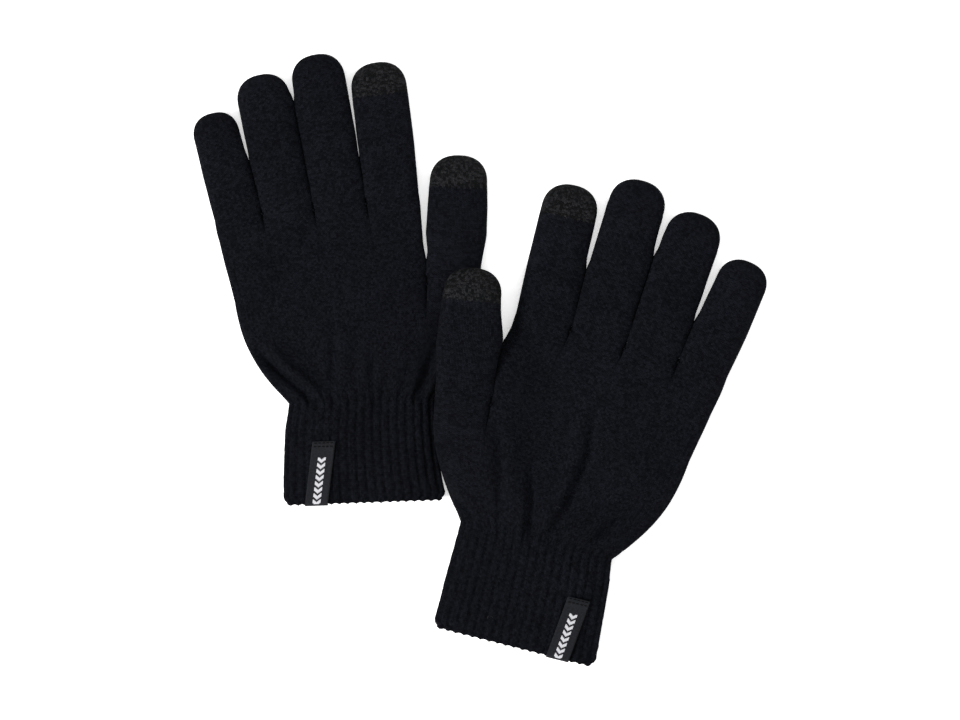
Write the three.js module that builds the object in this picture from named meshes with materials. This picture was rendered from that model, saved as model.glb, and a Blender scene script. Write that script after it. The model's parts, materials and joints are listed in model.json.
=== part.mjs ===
// A pair of knitted touchscreen gloves, laid flat on a table with the right glove over the thumb of the
// left one. Millimetres, +Z up; the pair stands on z = 0, centred on x = y = 0, fingers towards +Y.
//
// A glove is knitted as tubes: four fingers, a thumb, the palm above the thumb fork, the palm below it
// and a rib-knit cuff. Laid flat, each tube is pressed into an oval with a hollow inside. The index
// finger and the thumb end in tips of a conductive yarn. A woven label is folded over the cuff's hem.
//
// Each glove is drawn in its own frame: the origin is the centre of the wrist line, +Y runs up the hand
// and +X towards the thumb. The right glove is the mirror image of the left one.
import * as THREE from "three";

// ---- One glove, as it comes off the knitting machine ----------------------------------------------

const KNIT_WALL = 1.8; // plain knit of the hand
const RIB_WALL = 2; // rib knit of the cuff
const FLAT_HEIGHT = 11; // palm and cuff as they lie, with the air inside
const FINGER_HEIGHT = 10.4;
const OVAL_POWER = 2.6; // 2 would be an ellipse, more is squarer
const PRESSED_FLAT = 1.05; // how far the oval would stand past its flat faces
const FOLD_GAP = 0.6; // left between two sections that fold against each other
const SEAM_GAP = 0.3; // left between pieces that touch

const CUFF = { length: 54.6, wristWidth: 80.8, hemWidth: 88.6 };

// The hand's outline, as [x, y] in the glove's frame.
const LITTLE_EDGE = -62.5; // outer edge of the palm at the thumb fork
const THUMB_FORK = [43.1, 62.2];
const THUMB_EDGE = 71.2; // outer edge of the palm under the thumb
const KNUCKLE_CENTRE = -11.6; // middle of the four fingers' base lines, across the hand
const KNUCKLE_HEIGHTS = [108.7, 111.5, 110, 110, 108.7]; // at the ends of those lines
// How fast the palm widens above the gathered wrist, on each side. More is faster.
const FLARE = { little: 2.15, thumb: 1.7 };

// Length from the knuckle line, widest width, how much wider that is than the finger's base line,
// width where the rounded end starts, and how square that end is.
const FINGERS = {
  little: { length: 57.6, width: 26.4, swell: -0.3, tipWidth: 25.4, end: 2.1 },
  ring: { length: 73.8, width: 29.4, swell: 1.1, tipWidth: 29, end: 2.3 },
  middle: { length: 82, width: 30.2, swell: 1.2, tipWidth: 29.2, end: 2.5 },
  index: { length: 71.7, width: 29.9, swell: 0.1, tipWidth: 29.6, end: 2.4 },
};
const FINGER_NAMES = Object.keys(FINGERS);
// Ends of the fingers' base lines, as [x, y]. A wider finger moves the others aside.
const KNUCKLES = knuckleEnds();
const FINGER_SIDE_GAP = 0.8; // between neighbouring fingers at the knuckle line
const THUMB = { length: 68.3, width: 33, tipWidth: 31.6, end: 2.1 };
const THUMB_CENTRE = [58.2, 59.1]; // middle of the thumb's base line
const THUMB_BASE_WIDTH = 26.8;
const THUMB_PIVOT_RISE = 6; // the thumb swings about a point this far up from its base line
const END_LENGTH_SHARE = 0.96; // length of a finger's rounded end, as a share of its half width
const TOUCH_TIP_LENGTH = 17.6;

const ELASTIC = { radius: 0.4, fromHem: [12, 27, 42] };
const FORK_STITCH = { radius: 0.6, setBack: 2.8 };
const LABEL = { width: 12.2, length: 32.4, thickness: 0.5, fromCentre: 24 };
const LABEL_STITCH = { radius: 0.25, length: 10.4, fromTop: [1.3, 2.9] };

function knuckleEnds() {
  const bases = FINGER_NAMES.map((name) => FINGERS[name].width - FINGERS[name].swell);
  let x = KNUCKLE_CENTRE - bases.reduce((sum, base) => sum + base, 0) / 2;
  return KNUCKLE_HEIGHTS.map((y, i) => {
    x += i > 0 ? bases[i - 1] : 0;
    return [x, y];
  });
}

// ---- How each glove lies --------------------------------------------------------------------------

// stretch is the share of the knitted size that the fabric has relaxed or stretched to, and hemStretch
// the same for the hem. Angles are in degrees: turn is the hand's and cuffTurn the cuff's, both
// anticlockwise from +Y, and lean is each finger's towards the thumb. hemShift and labelSlant move the
// hem and the label's foot towards the thumb, and labelShift the whole label. thumbSideFlare is how
// late the cuff widens on that side.
const LEFT = {
  name: "left",
  mirror: 1,
  wrist: [-62.8, -21.7],
  turn: 7,
  cuffTurn: 2,
  stretch: 0.965,
  fingers: {
    little: { lean: -7.7, stretch: 0.96 },
    ring: { lean: -5.2, stretch: 0.97 },
    middle: { lean: -2.5, stretch: 0.965 },
    index: { lean: 0, stretch: 1 },
    thumb: { lean: 9.6, stretch: 0.98 },
  },
  hemStretch: 0.99,
  hemShift: -0.3,
  thumbSideFlare: 2.4,
  labelSlant: -9,
  labelShift: 0,
  over: 0,
};
const RIGHT = {
  name: "right",
  mirror: -1,
  wrist: [29.4, -95.4],
  turn: -17.5,
  cuffTurn: -14.2,
  stretch: 1.035,
  fingers: {
    little: { lean: -6.5, stretch: 1.06 },
    ring: { lean: -1.8, stretch: 1.035 },
    middle: { lean: 1.3, stretch: 1.035 },
    index: { lean: 4.3, stretch: 1.013 },
    thumb: { lean: 11.9, stretch: 0.996 },
  },
  hemStretch: 1.012,
  hemShift: -2.1,
  thumbSideFlare: 1,
  labelSlant: 6,
  labelShift: -3,
  over: FLAT_HEIGHT + 0.8, // its thumb side is held up by the left glove
};
// Where the held-up side of the upper glove starts and ends, across the hand and up it.
const HELD_UP = { across: [8, 42], rise: [0, 30], fall: [66, 104] };

// ---- Mesh fineness --------------------------------------------------------------------------------

// Steps across one face of a pressed tube, and along it.
const FINGER_ACROSS = 8;
const PALM_ACROSS = 12;
const CUFF_ACROSS = 13;
const ELASTIC_ACROSS = 10;
const SEAT_ACROSS = 7;
const FINGER_STATIONS = 4;
const END_STATIONS = 4;
const PALM_STATIONS = 5;
const CUFF_STATIONS = 4;

// ---- Materials ------------------------------------------------------------------------------------

const yarn = (color, roughness) => new THREE.MeshStandardMaterial({ color, roughness, metalness: 0 });
const PLAIN_KNIT = yarn(0x0b0c11, 0.95);
const RIB_KNIT = yarn(0x0a0b0f, 0.95);
const CONDUCTIVE_KNIT = yarn(0x33332f, 0.85);
const LABEL_WEAVE = yarn(0x191b22, 0.6);
const SEWING_THREAD = yarn(0x14151a, 0.7);
const RUBBER_THREAD = yarn(0x1c1c1e, 0.8);

// ---- Helpers --------------------------------------------------------------------------------------

const { lerp, smoothstep, degToRad } = THREE.MathUtils;
const steps = (count, from = 0, to = 1) =>
  Array.from({ length: count + 1 }, (_, i) => lerp(from, to, i / count));
const signedPower = (value, power) => Math.sign(value) * Math.abs(value) ** power;

// The share from -1 to 1 at which x lies between two edges.
const shareBetween = (left, right, x) => (2 * (x - left)) / (right - left) - 1;

// Height of a pressed oval above its middle, at a share of its half width. Its faces are flat.
function ovalRise(share, rise) {
  const outward = Math.min(1, Math.abs(share)) ** OVAL_POWER;
  return rise * Math.min(1, PRESSED_FLAT * (1 - outward) ** (1 / OVAL_POWER));
}

// Shares of the half width, from -1 to 1, that step evenly round a pressed oval. Shares that a section
// needs replace the even ones near them.
function acrossFace(count, needed = []) {
  const angles = steps(count, -Math.PI / 2, Math.PI / 2);
  const even = angles.map((angle) => signedPower(Math.sin(angle), 2 / OVAL_POWER));
  const kept = even.filter((share) => needed.every((other) => Math.abs(share - other) > 0.5 / count));
  return [...kept, ...needed].sort((a, b) => a - b);
}

// A skin lathed from rings, then pressed flat. The rings run once round the wall: from inside to
// outside on a tube with a closed end, or back to the first ring on an open one. A ring has half, its
// half width, and rise, its half height; place(share, height, ring) gives the [x, y, z] of a point at
// that share of the half width and that height. Each column of the lathe is one share of a face.
function pressedSkin(rings, shares, place) {
  const profile = rings.map((ring) => new THREE.Vector2(ring.half, ring.along));
  const faceColumns = shares.length - 1;
  const geometry = new THREE.LatheGeometry(profile, 2 * faceColumns);
  const position = geometry.getAttribute("position");
  for (let i = 0; i < position.count; i++) {
    const ring = rings[i % rings.length];
    const column = Math.floor(i / rings.length);
    const upper = column < faceColumns;
    const share = shares[upper ? column : 2 * faceColumns - column];
    const height = ovalRise(share, ring.rise) * (upper ? 1 : -1);
    position.setXYZ(i, ...place(share, height, ring));
  }
  geometry.deleteAttribute("normal");
  geometry.deleteAttribute("uv");
  return geometry;
}

// The rings of a wall open at both ends, from ringAt(share of the way along, depth below the face).
function openWall(count, wall, ringAt) {
  const outer = steps(count).map((t) => ringAt(t, 0));
  const inner = steps(count).map((t) => ringAt(t, wall));
  return [...outer, ...inner.reverse(), outer[0]];
}

function mesh(name, geometry, material) {
  const made = new THREE.Mesh(geometry, material);
  made.name = name;
  return made;
}

// ---- Fingers and thumb ----------------------------------------------------------------------------

// One finger's sizes at a glove's stretch, from its base width and its entry in FINGERS or THUMB.
function fingerSizes(finger, baseWidth, stretch) {
  const tipHalf = (finger.tipWidth * stretch) / 2;
  const endLength = tipHalf * END_LENGTH_SHARE;
  return {
    length: finger.length * stretch,
    straight: finger.length * stretch - endLength,
    endLength,
    baseHalf: baseWidth / 2,
    midHalf: (finger.width * stretch) / 2,
    tipHalf,
    power: 2 / finger.end,
    rise: FINGER_HEIGHT / 2,
  };
}

// Half width of the straight part: it swells from the base to the middle, then narrows to the end.
function halfWidthAt(size, along) {
  const t = along / size.straight;
  return t < 0.5
    ? lerp(size.baseHalf, size.midHalf, smoothstep(t, 0, 0.5))
    : lerp(size.midHalf, size.tipHalf, smoothstep(t, 0.5, 1));
}

function straightRings(size, inset, from, to, count) {
  return steps(count, from, to).map((along) => ({
    along,
    half: halfWidthAt(size, along) - inset,
    rise: size.rise - inset,
  }));
}

// The rounded end, as far as the tip on the axis.
function endRings(size, inset) {
  return steps(END_STATIONS)
    .slice(1)
    .map((t) => {
      const angle = (t * Math.PI) / 2;
      const shrink = t === 1 ? 0 : Math.cos(angle) ** size.power;
      return {
        along: size.straight + (size.endLength - inset) * Math.sin(angle) ** size.power,
        half: (size.tipHalf - inset) * shrink,
        rise: (size.rise - inset) * shrink,
      };
    });
}

const fingerPoint = (share, height, ring) => [share * ring.half, ring.along, height + FINGER_HEIGHT / 2];

// A tube with a closed end, open at from.
function closedTube(size, from, count, place = fingerPoint) {
  const straight = (inset) => straightRings(size, inset, from, size.straight, count);
  const skin = (inset) => [...straight(inset), ...endRings(size, inset)];
  return pressedSkin([...skin(KNIT_WALL).reverse(), ...skin(0)], acrossFace(FINGER_ACROSS), place);
}

function openTube(size, to, place = fingerPoint) {
  const ringAt = (t, inset) => straightRings(size, inset, 0, to * t, 1)[1];
  const wall = openWall(FINGER_STATIONS, KNIT_WALL, ringAt);
  return pressedSkin(wall, acrossFace(FINGER_ACROSS), place);
}

// The four fingers' base lines, from the knuckle points.
function fingerBases(lay) {
  const points = KNUCKLES.map(([x, y]) => new THREE.Vector2(x, y).multiplyScalar(lay.stretch));
  return FINGER_NAMES.map((name, i) => ({
    name,
    centre: points[i].clone().add(points[i + 1]).divideScalar(2),
    width: points[i].distanceTo(points[i + 1]) - FINGER_SIDE_GAP,
    lean: degToRad(lay.fingers[name].lean),
    stretch: lay.fingers[name].stretch,
  }));
}

// A group at the middle of a base line, with +Y along the finger.
function fingerFrame(centre, lean, height) {
  const frame = new THREE.Group();
  frame.position.set(centre.x, centre.y, height);
  frame.rotation.z = -lean;
  return frame;
}

function makeFinger(lay, base) {
  const size = fingerSizes(FINGERS[base.name], base.width, base.stretch);
  const frame = fingerFrame(base.centre, base.lean, 0);
  frame.name = `${lay.name}_${base.name}_fold`;
  const name = `${lay.name}_${base.name}_finger`;
  if (base.name === "index") {
    const cut = size.length - TOUCH_TIP_LENGTH * base.stretch;
    frame.add(mesh(name, openTube(size, cut - SEAM_GAP), PLAIN_KNIT));
    frame.add(mesh(`${lay.name}_index_touch_tip`, closedTube(size, cut, 1), CONDUCTIVE_KNIT));
  } else {
    frame.add(mesh(name, closedTube(size, 0, FINGER_STATIONS), PLAIN_KNIT));
  }
  return frame;
}

// The thumb's round seat in the palm: the point it swings about and the seat's radius.
function thumbSeat(lay) {
  const lean = degToRad(lay.fingers.thumb.lean);
  const rise = THUMB_PIVOT_RISE * lay.stretch;
  const centre = new THREE.Vector2(...THUMB_CENTRE).multiplyScalar(lay.stretch);
  const half = (THUMB_BASE_WIDTH * lay.stretch) / 2;
  return {
    lean,
    rise,
    centre,
    half,
    radius: Math.hypot(half, rise),
    pivot: new THREE.Vector2(centre.x + rise * Math.sin(lean), centre.y + rise * Math.cos(lean)),
  };
}

function makeThumb(lay) {
  const seat = thumbSeat(lay);
  const { stretch } = lay.fingers.thumb;
  const size = fingerSizes(THUMB, seat.half * 2, stretch);
  const cut = size.length - TOUCH_TIP_LENGTH * stretch;
  // The open edge is round about the pivot, so that it turns in its seat.
  const roundMouth = (share, height, ring) => {
    const [x, along, z] = fingerPoint(share, height, ring);
    const edge = seat.rise - Math.sqrt(Math.max(0, seat.radius ** 2 - x ** 2));
    return [x, lerp(edge, along, Math.min(1, ring.along / (cut / FINGER_STATIONS))), z];
  };
  const frame = fingerFrame(seat.centre, seat.lean, lay.over);
  frame.name = `${lay.name}_thumb_swing`;
  frame.add(mesh(`${lay.name}_thumb`, openTube(size, cut - SEAM_GAP, roundMouth), PLAIN_KNIT));
  frame.add(mesh(`${lay.name}_thumb_touch_tip`, closedTube(size, cut, 1), CONDUCTIVE_KNIT));
  return frame;
}

// ---- Palm -----------------------------------------------------------------------------------------

// How far a point of the hand is held up by the glove underneath.
function heldUp(lay, x, y) {
  const [u, v] = [x / lay.stretch, y / lay.stretch];
  const up = smoothstep(v, ...HELD_UP.rise) * (1 - smoothstep(v, ...HELD_UP.fall));
  return lay.over * smoothstep(u, ...HELD_UP.across) * up;
}

// A palm section between two edges. edges(share, t) gives [x, y] at a share from -1, the little
// finger's side, to 1, and t from 0, its lower edge, to 1.
function palmSection(lay, needed, halfAt, edges) {
  const wall = openWall(PALM_STATIONS, KNIT_WALL, (t, inset) => ({
    along: t,
    half: halfAt(t),
    inset,
    rise: FLAT_HEIGHT / 2 - inset,
  }));
  return pressedSkin(wall, acrossFace(PALM_ACROSS, needed), (share, height, ring) => {
    const [x, y] = edges(share * (1 - ring.inset / ring.half), ring.along);
    return [x, y, FLAT_HEIGHT / 2 + height + heldUp(lay, x, y)];
  });
}

const wristBend = (lay) => degToRad(lay.cuffTurn - lay.turn) * lay.mirror;

// The wrist line's point at a share of its half width.
function wristPoint(lay, share) {
  const across = (share * CUFF.wristWidth * lay.stretch) / 2;
  return [across * Math.cos(wristBend(lay)), across * Math.sin(wristBend(lay))];
}

// Between the wrist line and the thumb fork, open above to the upper palm and the thumb.
function makeLowerPalm(lay) {
  const seat = thumbSeat(lay);
  const [left, right, forkX, forkY] = [LITTLE_EDGE, THUMB_EDGE, ...THUMB_FORK].map((x) => x * lay.stretch);
  const seatRadius = seat.radius + FOLD_GAP;
  const topY = (x) => {
    const reach = Math.min(Math.abs(x - seat.pivot.x), seatRadius);
    return x < forkX ? forkY : Math.min(forkY, seat.pivot.y - Math.sqrt(seatRadius ** 2 - reach ** 2));
  };
  const flared = (t, power) => 1 - (1 - t) ** power;
  const leftAt = (t) => lerp(wristPoint(lay, -1)[0], left, flared(t, FLARE.little));
  const rightAt = (t) => lerp(wristPoint(lay, 1)[0], right, flared(t, FLARE.thumb));
  const halfAt = (t) => (rightAt(t) - leftAt(t)) / 2;
  const seatAngles = steps(SEAT_ACROSS, -Math.PI / 2, Math.asin((right - seat.pivot.x) / seatRadius));
  const seatXs = seatAngles.map((angle) => seat.pivot.x + seatRadius * Math.sin(angle));
  const needed = [forkX, ...seatXs].map((x) => shareBetween(left, right, x));
  return palmSection(lay, needed, halfAt, (share, t) => {
    const side = (share + 1) / 2;
    const bottomY = wristPoint(lay, share)[1] + FOLD_GAP;
    return [lerp(leftAt(t), rightAt(t), side), lerp(bottomY, topY(lerp(left, right, side)), t)];
  });
}

// Between the thumb fork and the knuckle line, open above to the four fingers.
function makeUpperPalm(lay) {
  const bases = fingerBases(lay);
  const [left, right, forkY] = [LITTLE_EDGE, ...THUMB_FORK].map((x) => x * lay.stretch);
  const topLeft = KNUCKLES[0][0] * lay.stretch;
  const topRight = KNUCKLES.at(-1)[0] * lay.stretch;
  const baseLine = (base, x) => base.centre.y - (x - base.centre.x) * Math.tan(base.lean);
  const knuckleY = (x) => {
    const near = bases.filter((base) => Math.abs(x - base.centre.x) < base.width / 2 + KNIT_WALL);
    return Math.min(...near.map((base) => baseLine(base, x) - FOLD_GAP));
  };
  const halfAt = (t) => (lerp(right, topRight, t) - lerp(left, topLeft, t)) / 2;
  const forks = KNUCKLES.slice(1, -1).map(([x]) => x * lay.stretch);
  const centres = bases.map((base) => base.centre.x);
  const needed = [...forks, ...centres].map((x) => shareBetween(topLeft, topRight, x));
  return palmSection(lay, needed, halfAt, (share, t) => {
    const side = (share + 1) / 2;
    const topX = lerp(topLeft, topRight, side);
    return [lerp(lerp(left, right, side), topX, t), lerp(forkY + SEAM_GAP, knuckleY(topX), t)];
  });
}

// The stitches that close each fork, from the lower layer of the knit to the upper one.
function makeForkStitches(lay) {
  const { radius, setBack } = FORK_STITCH;
  const knuckleEdges = [KNUCKLES[0][0], KNUCKLES.at(-1)[0]];
  const fingerForks = KNUCKLES.slice(1, -1).map((at) => ({ at, edges: knuckleEdges }));
  const forks = [...fingerForks, { at: THUMB_FORK, edges: [LITTLE_EDGE, THUMB_EDGE] }];
  return forks.map(({ at, edges }, i) => {
    const inside = ovalRise(shareBetween(...edges, at[0]), FLAT_HEIGHT / 2 - KNIT_WALL);
    const height = 2 * (inside - 2 * SEAM_GAP);
    const geometry = new THREE.CylinderGeometry(radius, radius, height, 8).rotateX(Math.PI / 2);
    const [x, y] = [at[0] * lay.stretch, (at[1] - setBack) * lay.stretch];
    const stitch = mesh(`${lay.name}_fork_stitch_${i + 1}`, geometry, SEWING_THREAD);
    stitch.position.set(x, y, FLAT_HEIGHT / 2 + heldUp(lay, x, y));
    return stitch;
  });
}

// ---- Cuff, in a frame turned with it, with -Y towards the hem -------------------------------------

function cuffSizes(lay) {
  const wristHalf = (CUFF.wristWidth * lay.stretch) / 2;
  const hemHalf = (CUFF.hemWidth * lay.hemStretch) / 2;
  const length = CUFF.length * lay.stretch;
  const edge = (t, power) => lerp(wristHalf, hemHalf, t ** power);
  const shift = (t) => lay.hemShift * t;
  const left = (t) => shift(t) - edge(t, 1 / 2);
  const right = (t) => shift(t) + edge(t, lay.thumbSideFlare);
  return {
    length,
    centreAt: (t) => (left(t) + right(t)) / 2,
    halfAt: (t) => (right(t) - left(t)) / 2,
  };
}

function cuffPoint(size) {
  return (share, height, ring) => {
    const t = THREE.MathUtils.clamp(ring.along / size.length, 0, 1);
    return [size.centreAt(t) + share * ring.half, -ring.along, FLAT_HEIGHT / 2 + height];
  };
}

function makeCuffTube(lay) {
  const size = cuffSizes(lay);
  const wall = openWall(CUFF_STATIONS, RIB_WALL, (t, inset) => ({
    along: t * size.length,
    half: size.halfAt(t) - inset,
    rise: FLAT_HEIGHT / 2 - inset,
  }));
  const skin = pressedSkin(wall.reverse(), acrossFace(CUFF_ACROSS), cuffPoint(size));
  return mesh(`${lay.name}_cuff`, skin, RIB_KNIT);
}

// Rubber threads laid round the inside of the rib, which pull the cuff in to the wrist.
function makeElastics(lay) {
  const size = cuffSizes(lay);
  const depth = RIB_WALL + SEAM_GAP + ELASTIC.radius;
  return ELASTIC.fromHem.map((fromHem, i) => {
    const middle = size.length - fromHem * lay.stretch;
    const half = size.halfAt(middle / size.length) - depth;
    const section = steps(5).map((t) => ({
      along: middle - ELASTIC.radius * Math.sin(2 * Math.PI * t),
      half: half + ELASTIC.radius * Math.cos(2 * Math.PI * t),
      rise: FLAT_HEIGHT / 2 - depth + ELASTIC.radius * Math.cos(2 * Math.PI * t),
    }));
    const geometry = pressedSkin(section, acrossFace(ELASTIC_ACROSS), cuffPoint(size));
    return mesh(`${lay.name}_cuff_elastic_${i + 1}`, geometry, RUBBER_THREAD);
  });
}

// A point on the label: how far it is above the hem, across the label and above the cuff's face.
function labelPlace(lay) {
  const size = cuffSizes(lay);
  const slant = Math.tan(degToRad(lay.labelSlant));
  return (fromHem, across, above) => {
    const t = THREE.MathUtils.clamp(1 - fromHem / size.length, 0, 1);
    const centre = lay.labelShift - LABEL.fromCentre * lay.stretch;
    const x = across + centre + slant * (LABEL.length / 2 - fromHem);
    const face = FLAT_HEIGHT / 2 + ovalRise((x - size.centreAt(t)) / size.halfAt(t), FLAT_HEIGHT / 2);
    return [x, fromHem - size.length, face + above];
  };
}

// The label's strip, seen from the side: down the outside, round the hem and up the inside, where it
// passes over the rubber threads.
function makeLabel(lay) {
  const { width, length, thickness } = LABEL;
  const innerFace = -(RIB_WALL + 2 * SEAM_GAP + 2 * ELASTIC.radius);
  const outline = [
    [length, SEAM_GAP + thickness],
    [-SEAM_GAP - thickness, SEAM_GAP + thickness],
    [-SEAM_GAP - thickness, innerFace - thickness],
    [length, innerFace - thickness],
    [length, innerFace],
    [-SEAM_GAP, innerFace],
    [-SEAM_GAP, SEAM_GAP],
    [length, SEAM_GAP],
  ];
  const side = new THREE.Shape(outline.map(([x, y]) => new THREE.Vector2(x, y)));
  const geometry = new THREE.ExtrudeGeometry(side, { depth: width, steps: 3, bevelEnabled: false });
  const position = geometry.getAttribute("position");
  const place = labelPlace(lay);
  for (let i = 0; i < position.count; i++) {
    position.setXYZ(i, ...place(position.getX(i), position.getZ(i) - width / 2, position.getY(i)));
  }
  return mesh(`${lay.name}_label`, geometry, LABEL_WEAVE);
}

// The rows of stitches across the label's upper end.
function makeLabelStitching(lay) {
  const { radius, length } = LABEL_STITCH;
  const lift = 2 * SEAM_GAP + LABEL.thickness + radius;
  return LABEL_STITCH.fromTop.map((fromTop, i) => {
    const ends = [-length / 2, length / 2].map((x) => labelPlace(lay)(LABEL.length - fromTop, x, lift));
    const path = new THREE.LineCurve3(...ends.map((end) => new THREE.Vector3(...end)));
    const section = new THREE.Shape().absarc(0, 0, radius, 0, 2 * Math.PI);
    const geometry = new THREE.ExtrudeGeometry(section, { steps: 1, curveSegments: 3, extrudePath: path });
    return mesh(`${lay.name}_label_stitching_${i + 1}`, geometry, SEWING_THREAD);
  });
}

function makeCuff(lay) {
  const frame = new THREE.Group();
  frame.name = `${lay.name}_cuff_fold`;
  frame.rotation.z = wristBend(lay);
  frame.add(makeCuffTube(lay), ...makeElastics(lay), makeLabel(lay), ...makeLabelStitching(lay));
  return frame;
}

// ---- The pair -------------------------------------------------------------------------------------

function makeGlove(lay) {
  const glove = new THREE.Group();
  glove.name = `${lay.name}_glove`;
  glove.position.set(...lay.wrist, 0);
  glove.rotation.z = degToRad(lay.turn);
  glove.scale.x = lay.mirror;
  glove.add(makeCuff(lay));
  glove.add(mesh(`${lay.name}_lower_palm`, makeLowerPalm(lay), PLAIN_KNIT));
  glove.add(mesh(`${lay.name}_upper_palm`, makeUpperPalm(lay), PLAIN_KNIT));
  glove.add(...makeForkStitches(lay));
  glove.add(...fingerBases(lay).map((base) => makeFinger(lay, base)));
  glove.add(makeThumb(lay));
  return glove;
}

const pair = new THREE.Group();
pair.add(makeGlove(LEFT), makeGlove(RIGHT));

// The origin is under the middle of the pair, on the table.
const box = new THREE.Box3().setFromObject(pair, true);
const middle = box.getCenter(new THREE.Vector3());
pair.position.set(-middle.x, -middle.y, -box.min.z);

export default pair;
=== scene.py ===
"""A pair of knitted touchscreen gloves, laid flat with the right thumb over the left glove."""

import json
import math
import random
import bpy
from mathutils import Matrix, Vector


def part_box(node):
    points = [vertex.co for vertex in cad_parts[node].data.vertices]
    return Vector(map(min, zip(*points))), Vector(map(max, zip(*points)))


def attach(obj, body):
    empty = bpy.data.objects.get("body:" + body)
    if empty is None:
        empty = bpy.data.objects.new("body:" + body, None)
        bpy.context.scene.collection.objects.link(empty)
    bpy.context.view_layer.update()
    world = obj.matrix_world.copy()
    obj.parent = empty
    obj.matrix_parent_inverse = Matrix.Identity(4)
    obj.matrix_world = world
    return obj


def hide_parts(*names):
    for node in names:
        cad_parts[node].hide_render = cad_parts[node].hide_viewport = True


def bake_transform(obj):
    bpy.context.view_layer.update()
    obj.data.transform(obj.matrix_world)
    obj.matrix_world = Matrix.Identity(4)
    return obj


bl_info = {
    "name": "Touchscreen Gloves",
    "version": (1, 0, 0),
    "blender": (4, 5, 0),
    "location": "3D View > Sidebar > Gloves",
    "description": "Knits a pair of touchscreen gloves round their packed frame",
    "category": "Object",
}

import bmesh
import bpy
import numpy as np
from mathutils import Vector, noise

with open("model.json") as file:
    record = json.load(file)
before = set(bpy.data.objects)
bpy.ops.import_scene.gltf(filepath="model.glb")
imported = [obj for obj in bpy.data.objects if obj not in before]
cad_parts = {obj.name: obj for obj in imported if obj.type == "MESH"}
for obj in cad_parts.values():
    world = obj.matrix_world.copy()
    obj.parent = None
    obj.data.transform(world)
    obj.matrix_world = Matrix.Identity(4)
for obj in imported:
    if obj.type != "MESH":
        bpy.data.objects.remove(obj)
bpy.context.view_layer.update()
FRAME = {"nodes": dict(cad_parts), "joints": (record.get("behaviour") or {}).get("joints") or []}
JOINTS = {joint["name"]: joint for joint in FRAME["joints"]}

MM = 0.001
SIDES = ("left", "right")
FINGERS = ("little", "ring", "middle", "index")

# Columns of the knit across one face of a glove. The palm's columns run on into the fingers and thumb,
# and those of the cuff run on into the palm. One rib of the cuff is RIB_COLUMNS wide.
FINGER_COLUMNS = {"little": 22, "ring": 23, "middle": 23, "index": 23}
THUMB_COLUMNS = 23
PALM_COLUMNS = sum(FINGER_COLUMNS.values())
HAND_COLUMNS = PALM_COLUMNS + THUMB_COLUMNS
RIB_COLUMNS = 6

# Roundness of a tube's cross-section and of a fingertip: 2 is an ellipse, and more is squarer.
OVAL_POWER = 2.6
END_POWER = 2.3

# A finger rounds off over its last FINGER_END. Its width there is read a little further on. Its first
# rows take FINGER_ROOT to turn from the shape of the knuckle line to its own.
FINGER_END = 14.6 * MM
END_WIDTH_AT = 13.6 * MM
FINGER_ROOT = 9 * MM

# How far neighbouring fingers, and the thumb and palm, may reach to close the gap between them.
FINGER_REACH, THUMB_REACH = 1.3 * MM, 2.4 * MM

# A stretch of knit up from the root of a finger or thumb, and down from the wrist. Its ends are placed,
# but nothing is bent over it.
FINGER_BEND = (0.8 * MM, 17 * MM)
CUFF_BEND = (0.3 * MM, 12 * MM)

# The hem's corners are drawn in by HEM_CORNER, which dies away over HEM_ROUNDING above the hem.
HEM_CORNER, HEM_ROUNDING = 2.6 * MM, 4.5 * MM

# Radii of the label's thread, the yarn that closes the forks, and a fibre of fluff.
LABEL_THREAD, FORK_YARN, FLUFF_FIBRE = 0.24 * MM, 0.26 * MM, 0.11 * MM

# What a point of the knit belongs to.
HAND, CUFF_OUTSIDE, CUFF_INSIDE = 0, 1, 2

# Stitches: how far a leg of the V climbs, in courses, and the share of the relief that repeats with
# each course. The rest runs round the leg.
LEG_CLIMB = 0.55
BEAT_SHARE = 0.45

# Lengths that set the scale of each pattern. Weft really lies 0.2 mm apart in such a label. It is drawn
# at WEFT_STEP, which is as fine as shows.
TUFT, DENSE_PATCH = 0.85 * MM, 22 * MM
SILVER_FLECK, SILVER_FIBRE = 1.0 * MM, 0.6 * MM
WEFT_STEP, WARP_STEP, LABEL_SPECK = 0.55 * MM, 0.6 * MM, 0.9 * MM

# The label's chevrons: how far apart, half the ladder's width, and where it starts and ends.
CHEVRON_STEP, LADDER_HALF, LADDER_TOP, LADDER_FOOT = 3.2 * MM, 2.4 * MM, 8.5 * MM, 33 * MM

# Light and camera.
ROOM_LIGHT, KEY_LIGHT, KEY_ANGLE = 1.13, 3.9, 24
TABLE_LIGHT = 0.4
TABLE_HALF = 3.0
CAMERA_HEIGHT = 3.2
SENSOR_MM = 36


# ---- Settings --------------------------------------------------------------------------------------


class KnitSettings(bpy.types.PropertyGroup):
    yarn: bpy.props.StringProperty(
        name="Yarn", description="Colour of the plain yarn, as sRGB hex", default="#0a0b0f"
    )
    course: bpy.props.FloatProperty(
        name="Course", description="Height of one stitch", default=1.0 * MM, unit="LENGTH", precision=5
    )
    row: bpy.props.FloatProperty(
        name="Row", description="Length of one step of the mesh", default=1.7 * MM, unit="LENGTH",
        precision=5,
    )
    ripple: bpy.props.FloatProperty(
        name="Ripple", description="Height of the uneven lie of the knit",
        default=0.7 * MM, unit="LENGTH",
        precision=5,
    )
    gather: bpy.props.FloatProperty(
        name="Gather", description="Height of the small pleats above the cuff", default=1.5 * MM,
        unit="LENGTH", precision=5,
    )


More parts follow.
